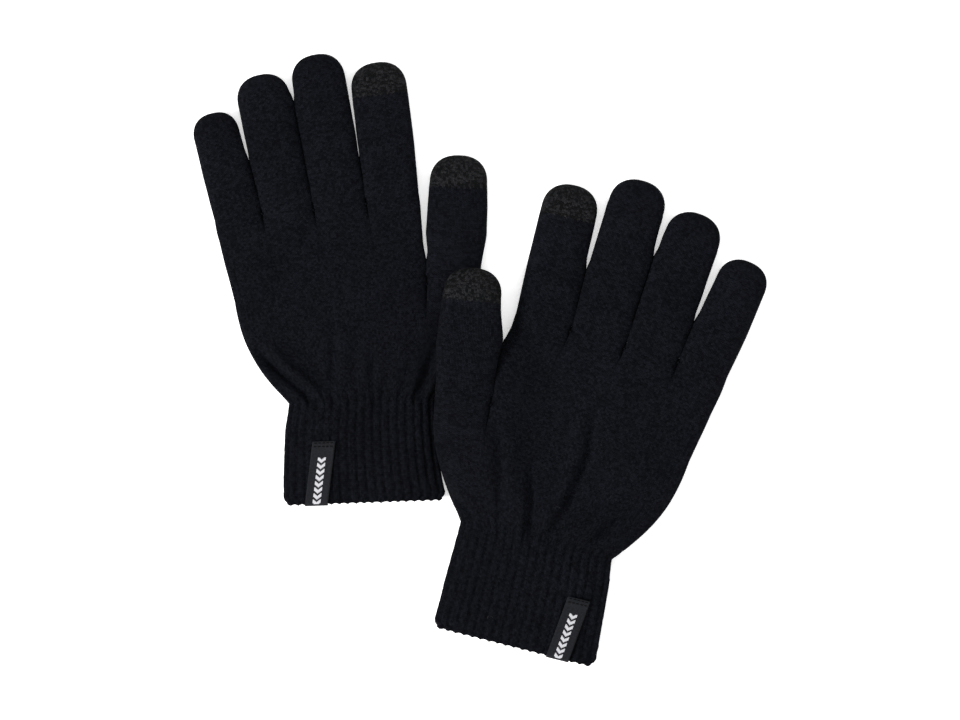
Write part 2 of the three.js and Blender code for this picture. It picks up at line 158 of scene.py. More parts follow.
class CuffSettings(bpy.types.PropertyGroup):
    rib_depth: bpy.props.FloatProperty(
        name="Rib depth", description="Depth of the groove between two ribs", default=1.15 * MM,
        unit="LENGTH", precision=5,
    )
    wall: bpy.props.FloatProperty(
        name="Wall", description="Thickness of the rib knit", default=1.7 * MM, unit="LENGTH", precision=5
    )
    turned_in: bpy.props.FloatProperty(
        name="Inside", description="How far up the inside is knitted", default=50 * MM, unit="LENGTH",
        precision=5,
    )


class TipSettings(bpy.types.PropertyGroup):
    dark: bpy.props.StringProperty(
        name="Dark fibre", description="Colour of the dark conductive fibre, as sRGB hex",
        default="#08090a",
    )
    light: bpy.props.StringProperty(
        name="Light fibre", description="Colour of the silvered fibre, as sRGB hex", default="#28282a"
    )


class LabelSettings(bpy.types.PropertyGroup):
    ground: bpy.props.StringProperty(
        name="Ground", description="Colour of the label's ground, as sRGB hex", default="#111216"
    )
    figure: bpy.props.StringProperty(
        name="Figure", description="Colour of the woven pattern, as sRGB hex", default="#bababe"
    )
    cloth: bpy.props.FloatProperty(
        name="Cloth", description="Thickness of the label", default=0.45 * MM, unit="LENGTH", precision=5
    )


class StageSettings(bpy.types.PropertyGroup):
    floor: bpy.props.StringProperty(
        name="Floor", description="Colour of the floor, as sRGB hex", default="#fdfdfd"
    )
    view_width: bpy.props.FloatProperty(
        name="View width", description="Width of the picture at the floor", default=0.5088, unit="LENGTH"
    )


# ---- Colour and nodes ------------------------------------------------------------------------------


def linear(code):
    """An sRGB hex colour as linear RGBA."""
    parts = [int(code.lstrip("#")[i : i + 2], 16) / 255 for i in (0, 2, 4)]
    return (*[c / 12.92 if c <= 0.04045 else ((c + 0.055) / 1.055) ** 2.4 for c in parts], 1.0)


def add(tree, kind, *values, inputs=None, **settings):
    """Adds a shader node. values fill its inputs in order, and inputs fills them by name or number:
    with plain values, with output sockets, or with nodes, whose first output is then used."""
    node = tree.nodes.new(f"ShaderNode{kind}")
    for key, value in settings.items():
        setattr(node, key, value)
    for key, value in [*enumerate(values), *(inputs or {}).items()]:
        if isinstance(value, bpy.types.Node):
            value = value.outputs[0]
        if isinstance(value, bpy.types.NodeSocket):
            tree.links.new(value, node.inputs[key])
        else:
            node.inputs[key].default_value = value
    return node


def new_material(name):
    material = bpy.data.materials.new(name)
    material.use_nodes = True
    tree = material.node_tree
    tree.nodes.clear()
    shader = add(tree, "BsdfPrincipled")
    add(tree, "OutputMaterial", inputs={"Surface": shader})
    return material, tree, shader


def surface(tree, shader, colour, height, depth, roughness, gloss, strength=1.0):
    """Gives the shader a colour and a relief, and a roughness and gloss that are the same all over."""
    bump = add(tree, "Bump", inputs={"Height": height, "Distance": depth, "Strength": strength})
    tree.links.new(colour, shader.inputs["Base Color"])
    tree.links.new(bump.outputs[0], shader.inputs["Normal"])
    shader.inputs["Roughness"].default_value = roughness
    shader.inputs["Specular IOR Level"].default_value = gloss


def wave(tree, turns):
    """A sine wave from -1 to 1, with one period to a turn."""
    angle = add(tree, "Math", turns, 2 * math.pi, operation="MULTIPLY")
    return add(tree, "Math", angle, operation="SINE")


def stitch_height(tree, wales_per_column, course):
    """Plain knit seen from its right side: each wale is a column of V-shaped stitches.
    Returns the relief from 0 to 1, and the numbers of the wale and the course."""
    lie = add(tree, "Attribute", attribute_name="knit").outputs["Vector"]
    split = add(tree, "SeparateXYZ", lie)
    wale = add(tree, "Math", split.outputs["X"], wales_per_column, operation="MULTIPLY")
    row = add(tree, "Math", split.outputs["Y"], course, operation="DIVIDE")
    # From 0 at the wale's middle, where the V's legs meet, to 1 at its sides.
    leg = add(tree, "Math", wale, operation="FRACT")
    leg = add(tree, "Math", leg, 2.0, operation="MULTIPLY")
    leg = add(tree, "Math", leg, 1.0, operation="SUBTRACT")
    leg = add(tree, "Math", leg, operation="ABSOLUTE")
    # Each leg is round: low at the wale's middle and at its sides.
    round_leg = add(tree, "Math", leg, math.pi, operation="MULTIPLY")
    round_leg = add(tree, "Math", round_leg, operation="SINE")
    round_leg = add(tree, "Math", round_leg, 1 - BEAT_SHARE, operation="MULTIPLY")
    climb = add(tree, "Math", leg, LEG_CLIMB, operation="MULTIPLY")
    slant = add(tree, "Math", row, climb, operation="SUBTRACT")
    beat = add(tree, "Math", wave(tree, slant), 0.5, 0.5, operation="MULTIPLY_ADD")
    relief = add(tree, "Math", beat, BEAT_SHARE, round_leg, operation="MULTIPLY_ADD")
    wale_number = add(tree, "Math", wale, operation="FLOOR")
    return relief, wale_number, add(tree, "Math", slant, operation="FLOOR")


def stitch_chance(tree, wale, row):
    """A different number from 0 to 1 for each stitch."""
    stitch = add(tree, "CombineXYZ", wale, row)
    return add(tree, "TexWhiteNoise", inputs={"Vector": stitch}, noise_dimensions="2D")


def knit_material(name, yarn, wales_per_column, course, relief_mm):
    """Spun acrylic, weft knitted. Its hairy yarn scatters light, so it is matt, with tufts of loose
    fibre between the stitches. Real wales and courses are about 0.6 mm apart, too fine to show from
    where the pair is seen whole, so a wale is drawn as wide as a column of the mesh, about 1.2 mm, and
    a course 1 mm high. A rib of the cuff and its groove are four wales of one and a half columns."""
    material, tree, shader = new_material(name)
    relief, wale, row = stitch_height(tree, wales_per_column, course)
    place = add(tree, "TexCoord").outputs["Object"]
    # Tufts of fibre, and patches a few centimetres wide where the knit is denser.
    fibre = add(tree, "TexNoise", inputs={"Vector": place, "Scale": 1 / TUFT, "Detail": 3.0})
    patch = add(tree, "TexNoise", inputs={"Vector": place, "Scale": 1 / DENSE_PATCH, "Detail": 2.0})
    tuft = add(tree, "Math", fibre, 2.0, operation="MULTIPLY")
    tuft = add(tree, "Math", tuft, 0.15, operation="MAXIMUM")
    each = add(tree, "Math", stitch_chance(tree, wale, row), 0.95, 0.52, operation="MULTIPLY_ADD")
    dense = add(tree, "Math", patch, 0.6, 0.7, operation="MULTIPLY_ADD")
    # Painted shade: the yarn's colour is darkened where the stitch relief is low, between the legs of
    # each V. The stitch, tuft and patch factors vary its tone at random.
    shade = add(tree, "Math", relief, 1.3, 0.32, operation="MULTIPLY_ADD")
    for part in (each, tuft, dense):
        shade = add(tree, "Math", shade, part, operation="MULTIPLY")
    colour = add(tree, "VectorMath", linear(yarn)[:3], inputs={"Scale": shade}, operation="SCALE")
    height = add(tree, "Math", fibre, 0.35, relief, operation="MULTIPLY_ADD")
    surface(tree, shader, colour.outputs[0], height, relief_mm * MM, 0.92, 0.03, strength=0.9)
    return material


def conductive_material(settings, course):
    """Acrylic plied with silvered nylon: dark stitches flecked with paler, slightly shiny fibre. Its
    stitches are drawn as coarse as the plain knit's, for the same reason."""
    material, tree, shader = new_material("Silver-plied conductive knit")
    relief, wale, row = stitch_height(tree, 1.0, course)
    place = add(tree, "TexCoord").outputs["Object"]
    fleck = add(tree, "TexNoise", inputs={"Vector": place, "Scale": 1 / SILVER_FLECK, "Detail": 3.0})
    fibre = add(tree, "TexNoise", inputs={"Vector": place, "Scale": 1 / SILVER_FIBRE, "Detail": 3.0})
    silver = add(tree, "Math", stitch_chance(tree, wale, row), 0.5, fleck, operation="MULTIPLY_ADD")
    silver = add(tree, "Math", fibre, 0.45, silver, operation="MULTIPLY_ADD")
    silver = add(tree, "MapRange", inputs={"Value": silver, "From Min": 0.86, "From Max": 1.4})
    colours = {"Factor": silver, 6: linear(settings.dark), 7: linear(settings.light)}
    mix = add(tree, "Mix", inputs=colours, data_type="RGBA")
    # Painted shade: the colour is darkened where the stitch relief is low, between the legs of each V.
    shade = add(tree, "Math", relief, 0.25, operation="ADD")
    colour = add(tree, "VectorMath", mix.outputs[2], inputs={"Scale": shade}, operation="SCALE")
    height = add(tree, "Math", fibre, 0.4, relief, operation="MULTIPLY_ADD")
    surface(tree, shader, colour.outputs[0], height, 0.4 * MM, 0.7, 0.04)
    return material


# ---- Meshes ----------------------------------------------------------------------------------------


def show(name, mesh, material):
    """Puts a mesh in the scene, shaded smooth."""
    mesh.materials.append(material)
    mesh.polygons.foreach_set("use_smooth", [True] * len(mesh.polygons))
    piece = bpy.data.objects.new(name, mesh)
    bpy.context.scene.collection.objects.link(piece)
    return piece


def lay_pattern(mesh, name, domain, places):
    """Stores where each corner or point lies in its knit, thread or weave."""
    attribute = mesh.attributes.new(name, "FLOAT_VECTOR", domain)
    attribute.data.foreach_set("vector", np.array(places).ravel())


# ---- Reading the frame -----------------------------------------------------------------------------


def node_points(node):
    mesh = FRAME["nodes"][node].data
    points = np.empty(len(mesh.vertices) * 3)
    mesh.vertices.foreach_get("co", points)
    return points.reshape(-1, 3)


def node_edges(node):
    mesh = FRAME["nodes"][node].data
    pairs = np.empty(len(mesh.edges) * 2, int)
    mesh.edges.foreach_get("vertices", pairs)
    return pairs.reshape(-1, 2)


class Axes:
    """A frame laid on the table: across runs towards the thumb's side, and along up the hand."""

    def __init__(self, side, origin, along):
        self.origin = np.array(origin[:2], float)
        self.along = np.array(along[:2], float) / np.hypot(*along[:2])
        to_thumb = 1 if side == "left" else -1
        self.across = np.array([self.along[1], -self.along[0]]) * to_thumb

    def place(self, x, y):
        x, y = np.asarray(x, float), np.asarray(y, float)
        return self.origin + x[..., None] * self.across + y[..., None] * self.along

    def read(self, points):
        away = np.asarray(points)[..., :2] - self.origin
        return away @ self.across, away @ self.along

    def spans(self, node, stations):
        """Lowest and highest across of a CAD node, cut at each station along."""
        x, y = self.read(node_points(node))
        pairs = node_edges(node)
        (xa, xb), (ya, yb) = x[pairs.T], y[pairs.T]
        found = []
        for station in stations:
            hit = (ya - station) * (yb - station) < 0
            share = (station - ya[hit]) / (yb[hit] - ya[hit])
            cut = xa[hit] + (xb[hit] - xa[hit]) * share
            found.append((cut.min(), cut.max()))
        return np.array(found)


def long_axis(node):
    points = node_points(node)[:, :2]
    away = points - points.mean(0)
    return np.linalg.eigh(away.T @ away)[1][:, 1]


def towards(axis, direction):
    return axis if axis @ direction > 0 else -axis


# ---- Curves and ovals ------------------------------------------------------------------------------


def ease(value, low=0.0, high=1.0):
    t = np.clip((np.asarray(value, float) - low) / (high - low), 0, 1)
    return t * t * (3 - 2 * t)


def curve(knots, values, at):
    """A smooth curve through values at knots, read at other places."""
    knots, values, at = (np.asarray(a, float) for a in (knots, values, at))
    slopes = np.gradient(values, knots, axis=0)
    i = np.clip(np.searchsorted(knots, at, side="right") - 1, 0, len(knots) - 2)
    step = knots[i + 1] - knots[i]
    t = (at - knots[i]) / step
    if values.ndim > 1:
        t, step = t[:, None], step[:, None]
    start = (2 * t**3 - 3 * t**2 + 1) * values[i] + (t**3 - 2 * t**2 + t) * step * slopes[i]
    end = (3 * t**2 - 2 * t**3) * values[i + 1] + (t**3 - t**2) * step * slopes[i + 1]
    return start + end


def rough(points, across, along, layer):
    """Smooth noise over the table, from about -1 to 1. across and along are its scales to a metre."""
    return np.array([noise.noise(Vector((p[0] * across, p[1] * along, layer))) for p in points])


def evenly(points, count):
    """Points spaced evenly along a smooth curve through the given ones."""
    points = np.asarray(points, float)
    reach = np.concatenate([[0], np.cumsum(np.linalg.norm(np.diff(points, axis=0), axis=1))])
    return curve(reach, points, np.linspace(0, reach[-1], count))


def oval(half, rise, columns):
    """Shares of the half width, and heights, of points spaced evenly over one face of a pressed oval."""
    angle = np.linspace(-math.pi / 2, math.pi / 2, 241)
    share = np.sign(np.sin(angle)) * np.abs(np.sin(angle)) ** (2 / OVAL_POWER)
    height = np.abs(np.cos(angle)) ** (2 / OVAL_POWER)
    height[[0, -1]] = 0
    reach = np.hypot(np.diff(share * half), np.diff(height * rise))
    reach = np.concatenate([[0], np.cumsum(reach)])
    at = np.linspace(0, reach[-1], columns + 1)
    return np.interp(at, reach, share), np.interp(at, reach, height) * rise


def oval_row(start, end, rise, columns):
    """One row of knit from start to end: flat places, and heights above the middle."""
    start, end = np.asarray(start), np.asarray(end)
    share, height = oval(np.linalg.norm(end - start) / 2, rise, columns)
    t = (share[:, None] + 1) / 2
    return start * (1 - t) + end * t, height


# ---- One glove's knit ------------------------------------------------------------------------------


class Patch:
    """Rows of knit with a top and an underside face. flat holds each point's place on the table, rise
    its height above and below the middle, and middle the middle's height."""

    def __init__(self, name, first_column, flat, rise, middle, start, upward=True):
        self.name = name
        self.first_column = first_column
        self.flat = np.array(flat)
        self.rise = np.array(rise)
        self.middle = np.broadcast_to(np.asarray(middle, float), self.rise.shape).copy()
        self.upward = upward
        mid = self.flat.shape[1] // 2
        steps = np.linalg.norm(np.diff(self.flat[:, mid], axis=0), axis=1)
        self.course = start + np.concatenate([[0], np.cumsum(steps)]) * (1 if upward else -1)


class Glove:
    """Measures one glove of the frame and lays out its knit."""

    def __init__(self, side, row):
        self.side = side
        self.row = row
        self.palm_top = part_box("left_lower_palm")[1].z
        self.finger_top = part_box("left_ring_finger")[1].z
        self.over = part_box(f"{side}_thumb")[0].z
        self.measure()
        self.patches = []

    def measure(self):
        side = self.side
        hinge = JOINTS[f"{side}_ring_fold"]["axis"]
        up = np.array([-hinge[1], hinge[0]])
        rubber = f"{side}_cuff_elastic_1"
        cuff_across = long_axis(rubber)
        cuff_up = towards(np.array([-cuff_across[1], cuff_across[0]]), up)
        self.cuff = Axes(side, node_points(rubber).mean(0), cuff_up)
        reach = self.cuff.read(node_points(f"{side}_cuff"))[1]
        self.wrist_y, self.hem_y = reach.max(), reach.min()
        low, high = self.cuff.spans(f"{side}_cuff", [self.wrist_y - 0.2 * MM])[0]
        self.wrist = self.cuff.place([low, high], [self.wrist_y] * 2)
        self.hand = Axes(side, self.wrist.mean(0), up)
        self.fingers = {}
        for name in FINGERS:
            axis = towards(long_axis(f"{side}_{name}_finger"), up)
            self.fingers[name] = Axes(side, JOINTS[f"{side}_{name}_fold"]["pos_m"], axis)
        self.thumb = Axes(
            side, JOINTS[f"{side}_thumb_swing"]["pos_m"], towards(long_axis(f"{side}_thumb"), up)
        )
        # Corners of the four fingers' base lines, shared by neighbours.
        ends = []
        for name, axes in self.fingers.items():
            low, high = axes.spans(f"{side}_{name}_finger", [0.1 * MM])[0]
            ends.append(axes.place([low, high], [0, 0]))
        inner = [(a[1] + b[0]) / 2 for a, b in zip(ends, ends[1:])]
        self.knuckles = np.array([ends[0][0], *inner, ends[-1][1]])
        # The thumb's base line runs from the fork to the palm's outer edge.
        deep = -self.thumb.read(node_points(f"{side}_thumb"))[1].min()
        half = np.ptp(self.thumb.spans(f"{side}_thumb", [0.1 * MM])[0]) / 2
        self.thumb_root = -math.sqrt(deep**2 - half**2)
        root = self.thumb.place([-half, half], [self.thumb_root] * 2)
        upper = self.hand.read(node_points(f"{side}_upper_palm"))[1].min() + 0.3 * MM
        low, high = self.hand.spans(f"{side}_upper_palm", [upper])[0]
        corner = self.hand.place([low, high], [upper] * 2)
        self.fork = (root[0] + corner[1]) / 2
        self.outer_root = root[1]
        self.palm_side = corner[0]

    def edge(self, axes, node, which, top):
        """One edge of a finger as a line of places."""
        stations = np.linspace(0.2 * MM, top, 24)
        spans = axes.spans(node, stations)[:, which]
        return axes.place(spans, stations)

    def closing(self, name, axes, stations, places, which):
        """How much further a finger reaches at each station to lie against its neighbour."""
        if name == "thumb":
            if which == 1:
                return np.zeros(len(stations))
            other = np.concatenate([[self.fork], self.side_of_palm, self.side_of_index])
            touch, share, most = TOUCHING[self.side]["thumb"], 1.0, THUMB_REACH
        else:
            number = FINGERS.index(name) + (1 if which else -1)
            if number in (-1, len(FINGERS)):
                return np.zeros(len(stations))
            near = FINGERS[number]
            node = f"{self.side}_{near}_finger"
            touch, share, most = TOUCHING[self.side][name if which else near], 0.5, FINGER_REACH
            other = self.edge(self.fingers[near], node, 0 if which else 1, min(touch + 8, 58) * MM)
        reach = np.concatenate([[0], np.cumsum(np.linalg.norm(np.diff(other, axis=0), axis=1))])
        steps = np.linspace(0, reach[-1], 400)
        fine = np.column_stack([np.interp(steps, reach, other[:, k]) for k in (0, 1)])
        gap = np.linalg.norm(places[:, None] - fine[None], axis=2).min(1)
        # The thumb narrows away from the palm more slowly than the fingers part.
        end = touch + (20 if name == "thumb" and touch > 10 else 5)
        fade = 1 - ease(stations, (touch - 2) * MM, end * MM)
        # Pressed together most just above the fork. The base row itself already meets its neighbour.
        press = 0.1 * MM + 0.45 * MM * (1 - ease(stations, 6 * MM, 13 * MM))
        reach = np.clip(gap * share + press, 0, most) * fade
        reach[0] = 0
        return reach

    def against_thumb(self, line):
        """The palm's thumb side, moved out to lie along the thumb above its fork."""
        node = f"{self.side}_thumb"
        inner = np.concatenate([[self.fork], self.edge(self.thumb, node, 0, 40 * MM)])
        reach = np.linalg.norm(line - self.fork, axis=1)
        touch = TOUCHING[self.side]["thumb"] * MM
        fade = 1 - ease(reach, touch, touch + 15 * MM)
        moved = line.copy()
        for i, place in enumerate(line):
            away = inner - place
            nearest = away[int(np.argmin(np.linalg.norm(away, axis=1)))]
            moved[i] = place + 0.7 * fade[i] * nearest
        moved[0], moved[-1] = line[0], line[-1]
        return moved

    def held_up(self, flat):
        """How far the glove underneath holds this one up."""
        x, y = self.hand.read(flat)
        fork_x, fork_y = self.hand.read(self.fork)
        knuckle_y = self.hand.read(self.knuckles[3])[1]
        across = ease(x, fork_x - 35 * MM, fork_x - 1 * MM)
        up = ease(y, 0, 0.48 * fork_y) * (1 - ease(y, fork_y + 4 * MM, knuckle_y - 6 * MM))
        return self.over * across * up

    def side_line(self, node, which, start, end, rows):
        """The palm's edge from start to end, through the node's own edge."""
        y0, y1 = (self.hand.read(p)[1] for p in (start, end))
        stations = np.linspace(y0, y1, 8)[1:-1]
        spans = self.hand.spans(node, stations)[:, which]
        middle = self.hand.place(spans, stations)
        return evenly([start, *middle, end], rows + 1)

    def palm_patch(self, name, bottom, top, left, right, rises, start):
        """Knit stretched between four edges. bottom and top are rows with their heights."""
        rows, columns = len(left) - 1, len(bottom[0]) - 1
        t = np.linspace(0, 1, rows + 1)[:, None]
        plain = [oval_row(a, b, self.palm_top / 2, columns) for a, b in zip(left, right)]
        flat = np.array([row[0] for row in plain])
        rise = np.array([row[1] for row in plain])
        flat = flat + (1 - t)[..., None] * (bottom[0] - flat[0]) + t[..., None] * (top[0] - flat[-1])
        near_bottom, near_top = (1 - ease(t, 0, rises[0])), ease(t, 1 - rises[1], 1)
        rise = rise + near_bottom * (bottom[1] - rise[0]) + near_top * (top[1] - rise[-1])
        middle = rise.max(1, keepdims=True) * np.ones_like(rise) + self.held_up(flat)
        return Patch(name, 0, flat, rise, middle, start)

    def finger_rows(self, name, node, tip_node, axes, base, columns, first_column, start, root=0.0):
        """A tube from its base row to its closed end, cut in two where a touch tip begins."""
        rise = self.finger_top / 2
        tip = axes.read(node_points(tip_node or node))[1].max()
        before_end = tip - FINGER_END
        low, high = axes.spans(tip_node or node, [tip - END_WIDTH_AT])[0]
        end_half = (high - low) / 2
        end_length = min(end_half * 0.98, FINGER_END)
        cut = axes.read(node_points(tip_node))[1].min() if tip_node else None
        count = max(12, int((before_end - root) / self.row))
        stations = list(np.linspace(root, tip - end_length, count))
        angles = np.linspace(0, math.pi / 2, 13)[1:]
        stations += [tip - end_length + end_length * math.sin(a) for a in angles]
        if cut:
            near = int(np.argmin(np.abs(np.array(stations) - cut)))
            stations[near] = cut
        stations = np.array(stations)
        knots = np.linspace(0.3 * MM, (cut or before_end) - 1 * MM, 10)
        halves = np.append(np.ptp(axes.spans(node, knots), axis=1) / 2, end_half)
        knots = np.append(knots, tip - end_length)
        widths = curve(knots, halves, np.minimum(stations, knots[-1]))
        flat, rises = [], []
        low_edge, high_edge = axes.place(-widths, stations), axes.place(widths, stations)
        reach_low = self.closing(name, axes, stations, low_edge, 0)
        reach_high = self.closing(name, axes, stations, high_edge, 1)
        for station, half, more_low, more_high in zip(stations, widths, reach_low, reach_high):
            past = max(0.0, (station - (tip - end_length)) / end_length)
            shrink = (1 - min(1.0, past) ** END_POWER) ** (1 / END_POWER)
            ends = axes.place([-half * shrink - more_low, half * shrink + more_high], [station, station])
            places, heights = oval_row(*ends, rise * shrink**0.8, columns)
            flat.append(places)
            rises.append(heights)
        flat, rises = np.array(flat), np.array(rises)
        if cut:
            # The yarns change over on alternate stitches.
            tooth = np.where(np.arange(columns + 1) % 2, 0.45, -0.45) * MM
            flat[near, 1:-1] += axes.along * tooth[1:-1, None]
        near_base = (1 - ease(stations, root, root + FINGER_ROOT))[:, None]
        flat = flat + near_base[..., None] * (base[0] - flat[0])
        rises = rises + near_base * (base[1] - rises[0])
        middle = rises[0].max() + self.over * (name == "thumb")
        whole = Patch(name, first_column, flat, rises, middle, start)
        if not cut:
            return [whole]
        lower = Patch(name, first_column, flat[: near + 1], rises[: near + 1], middle, start)
        upper = Patch(f"{name}_tip", first_column, flat[near:], rises[near:], middle, lower.course[-1])
        return [lower, upper]

    def cuff_patch(self, settings):
        """The rib tube from the wrist to the hem, and back up its inside."""
        side, rise = self.side, self.palm_top / 2
        rows = int((self.wrist_y - self.hem_y) / self.row)
        stations = np.linspace(self.wrist_y, self.hem_y, rows + 1)
        knots = np.linspace(self.wrist_y - 0.2 * MM, self.hem_y + 0.2 * MM, 9)
        spans = self.cuff.spans(f"{side}_cuff", knots)
        spans = curve(-knots, spans, np.clip(-stations, -knots[0], -knots[-1]))
        flat, rises = [], []

        def lay(span, station, inset):
            # The hem's corners are rounded off, outside and inside alike.
            above_hem = max(station - self.hem_y, 0.0)
            inner = inset + HEM_CORNER * max(1 - above_hem / HEM_ROUNDING, 0.0) ** 2.5
            ends = self.cuff.place([span[0] + inner, span[1] - inner], [station, station])
            places, heights = oval_row(*ends, rise - inset, HAND_COLUMNS)
            flat.append(places)
            rises.append(heights)

        for station, span in zip(stations, spans):
            lay(span, station, 0)
        hem = spans[-1]
        for inset, below in ((0.3, 0.45), (0.8, 0.6), (1.3, 0.45)):
            lay(hem, self.hem_y - below * MM, inset * MM)
        inside = int(settings.turned_in / (1.6 * self.row))
        for station in np.linspace(self.hem_y, self.hem_y + settings.turned_in, inside):
            span = spans[int(np.argmin(np.abs(stations - station)))]
            lay(span, station, settings.wall)
        self.outer_rows = rows + 1
        self.cuff_spans = (stations, spans)
        return Patch("cuff", 0, flat, rises, rise, 0.0, upward=False)

    def ring(self, y, inset):
        """A closed line round the inside of the cuff."""
        stations, spans = self.cuff_spans
        low, high = spans[int(np.argmin(np.abs(stations - y)))]
        ends = self.cuff.place([low + inset, high - inset], [y, y])
        rise = self.palm_top / 2
        flat, height = oval_row(*ends, rise - inset, 60)
        top = np.column_stack([flat, rise + height])
        under = np.column_stack([flat, rise - height])[-2:0:-1]
        return np.concatenate([top, under])

    def lay_out(self, cuff_settings):
        cuff = self.cuff_patch(cuff_settings)
        wrist = (cuff.flat[0], cuff.rise[0])
        # The line of the thumb's fork: the upper palm's oval, then the thumb's.
        fork_line = oval_row(self.palm_side, self.fork, self.palm_top / 2, PALM_COLUMNS)
        thumb_line = oval_row(self.fork, self.outer_root, self.finger_top / 2, THUMB_COLUMNS)
        split = tuple(np.concatenate([a, b[1:]]) for a, b in zip(fork_line, thumb_line))
        knuckle_rows = [
            oval_row(a, b, self.finger_top / 2, FINGER_COLUMNS[name])
            for name, a, b in zip(FINGERS, self.knuckles, self.knuckles[1:])
        ]
        knuckle_line = tuple(
            np.concatenate([knuckle_rows[0][i], *[row[i][1:] for row in knuckle_rows[1:]]])
            for i in (0, 1)
        )
        lower, upper = f"{self.side}_lower_palm", f"{self.side}_upper_palm"
        rows = int(np.linalg.norm(self.fork - self.wrist[1]) / self.row)
        left = self.side_line(lower, 0, self.wrist[0], self.palm_side, rows)
        right = self.side_line(lower, 1, self.wrist[1], self.outer_root, rows)
        low = self.palm_patch("lower_palm", wrist, split, left, right, (0.2, 0.38), 0.0)
        rows = int(np.linalg.norm(self.knuckles[3] - self.fork) / self.row)
        left = self.side_line(upper, 0, self.palm_side, self.knuckles[0], rows)
        right = self.side_line(upper, 1, self.fork, self.knuckles[-1], rows)
        right = self.against_thumb(right)
        start = low.course[-1]
        high = self.palm_patch("upper_palm", fork_line, knuckle_line, left, right, (0.3, 0.32), start)
        self.patches = [cuff, low, high]
        self.side_of_palm = right
        self.side_of_index = self.edge(self.fingers["index"], f"{self.side}_index_finger", 1, 40 * MM)
        column, start = 0, high.course[-1]
        for name, base in zip(FINGERS, knuckle_rows):
            tip_node = f"{self.side}_index_touch_tip" if name == "index" else None
            self.patches += self.finger_rows(
                name, f"{self.side}_{name}_finger", tip_node, self.fingers[name], base,
                FINGER_COLUMNS[name], column, start,
            )
            column += FINGER_COLUMNS[name]
        self.patches += self.finger_rows(
            "thumb", f"{self.side}_thumb", f"{self.side}_thumb_touch_tip", self.thumb, thumb_line,
            THUMB_COLUMNS, column, low.course[-1], self.thumb_root,
        )
        self.weld()

    def weld(self):
        """Joins the patches into one mesh. Points that coincide become one."""
        known, points, columns, courses, kinds = {}, [], [], [], []
        self.faces = {}
        for patch in self.patches:
            rows, count = patch.rise.shape
            index = np.zeros((2, rows, count), int)
            inner_from = self.outer_rows if patch.name == "cuff" else rows
            for face in (0, 1):
                sign = 1 if face == 0 else -1
                for i in range(rows):
                    kind = CUFF_INSIDE if i >= inner_from else CUFF_OUTSIDE
                    for j in range(count):
                        rise = patch.rise[i, j]
                        if face == 1:
                            rise = min(rise * 1.12, patch.rise[i].max())
                        z = patch.middle[i, j] + sign * rise
                        x, y = patch.flat[i, j]
                        key = (round(x * 1e6), round(y * 1e6), round(z * 1e6))
                        if key not in known:
                            known[key] = len(points)
                            points.append((x, y, z))
                            columns.append(patch.first_column + j)
                            courses.append(patch.course[i])
                            kinds.append(HAND if patch.name != "cuff" else kind)
                        index[face, i, j] = known[key]
            faces, corners = [], []
            for face in (0, 1):
                flip = (face == 1) ^ (self.side == "right") ^ (not patch.upward)
                for i in range(rows - 1):
                    for j in range(count - 1):
                        ring = [(i, j), (i, j + 1), (i + 1, j + 1), (i + 1, j)]
                        if flip:
                            ring.reverse()
                        quad, lie = [], []
                        for a, b in ring:
                            vertex = int(index[face, a, b])
                            if vertex not in quad:
                                quad.append(vertex)
                                lie.append((patch.first_column + b + 0.5 * face, patch.course[a], 0.0))
                        if len(quad) > 2:
                            faces.append(quad)
                            corners.append(lie)
            self.faces[patch.name] = (faces, corners)
        self.points = np.array(points)
        self.columns = np.array(columns, float)
        self.courses = np.array(courses)
        self.kinds = np.array(kinds)

    def normals(self):
        total = np.zeros_like(self.points)
        for faces, _ in self.faces.values():
            for size in (3, 4):
                chosen = np.array([f for f in faces if len(f) == size])
                if not len(chosen):
                    continue
                a = self.points[chosen[:, 2]] - self.points[chosen[:, 0]]
                b = self.points[chosen[:, size - 1]] - self.points[chosen[:, 1]]
                face_normal = np.cross(a, b)
                for corner in range(size):
                    np.add.at(total, chosen[:, corner], face_normal)
        return total / np.maximum(np.linalg.norm(total, axis=1, keepdims=True), 1e-12)

    def rib(self, settings):
        """Ribs on the cuff, dying away in the first courses of the palm."""
        normal = self.normals()
        stray = rough(self.points, 160, 420, 3.3)
        turn = 2 * math.pi * (self.columns + 0.9 * stray) / RIB_COLUMNS
        groove = (0.5 + 0.5 * np.cos(turn)) ** 2 + 0.3 * (0.5 - 0.5 * np.cos(turn)) ** 6
        fade = np.where(self.kinds != HAND, 1.0, 1 - ease(self.courses, 1 * MM, 11 * MM))
        fade = np.where(self.kinds == CUFF_INSIDE, -0.5, fade)
        self.points += normal * (-settings.rib_depth * groove * fade)[:, None]
        # The hem is drawn in between ribs, which scallops it.
        near_hem = ease(-self.courses, (self.wrist_y - self.hem_y) - 4 * MM, self.wrist_y - self.hem_y)
        near_hem = near_hem * (self.kinds != HAND)
        shift = 0.55 * MM * np.cos(turn) * near_hem * (self.courses < -4 * MM)
        self.points[:, :2] += self.cuff.along * shift[:, None]

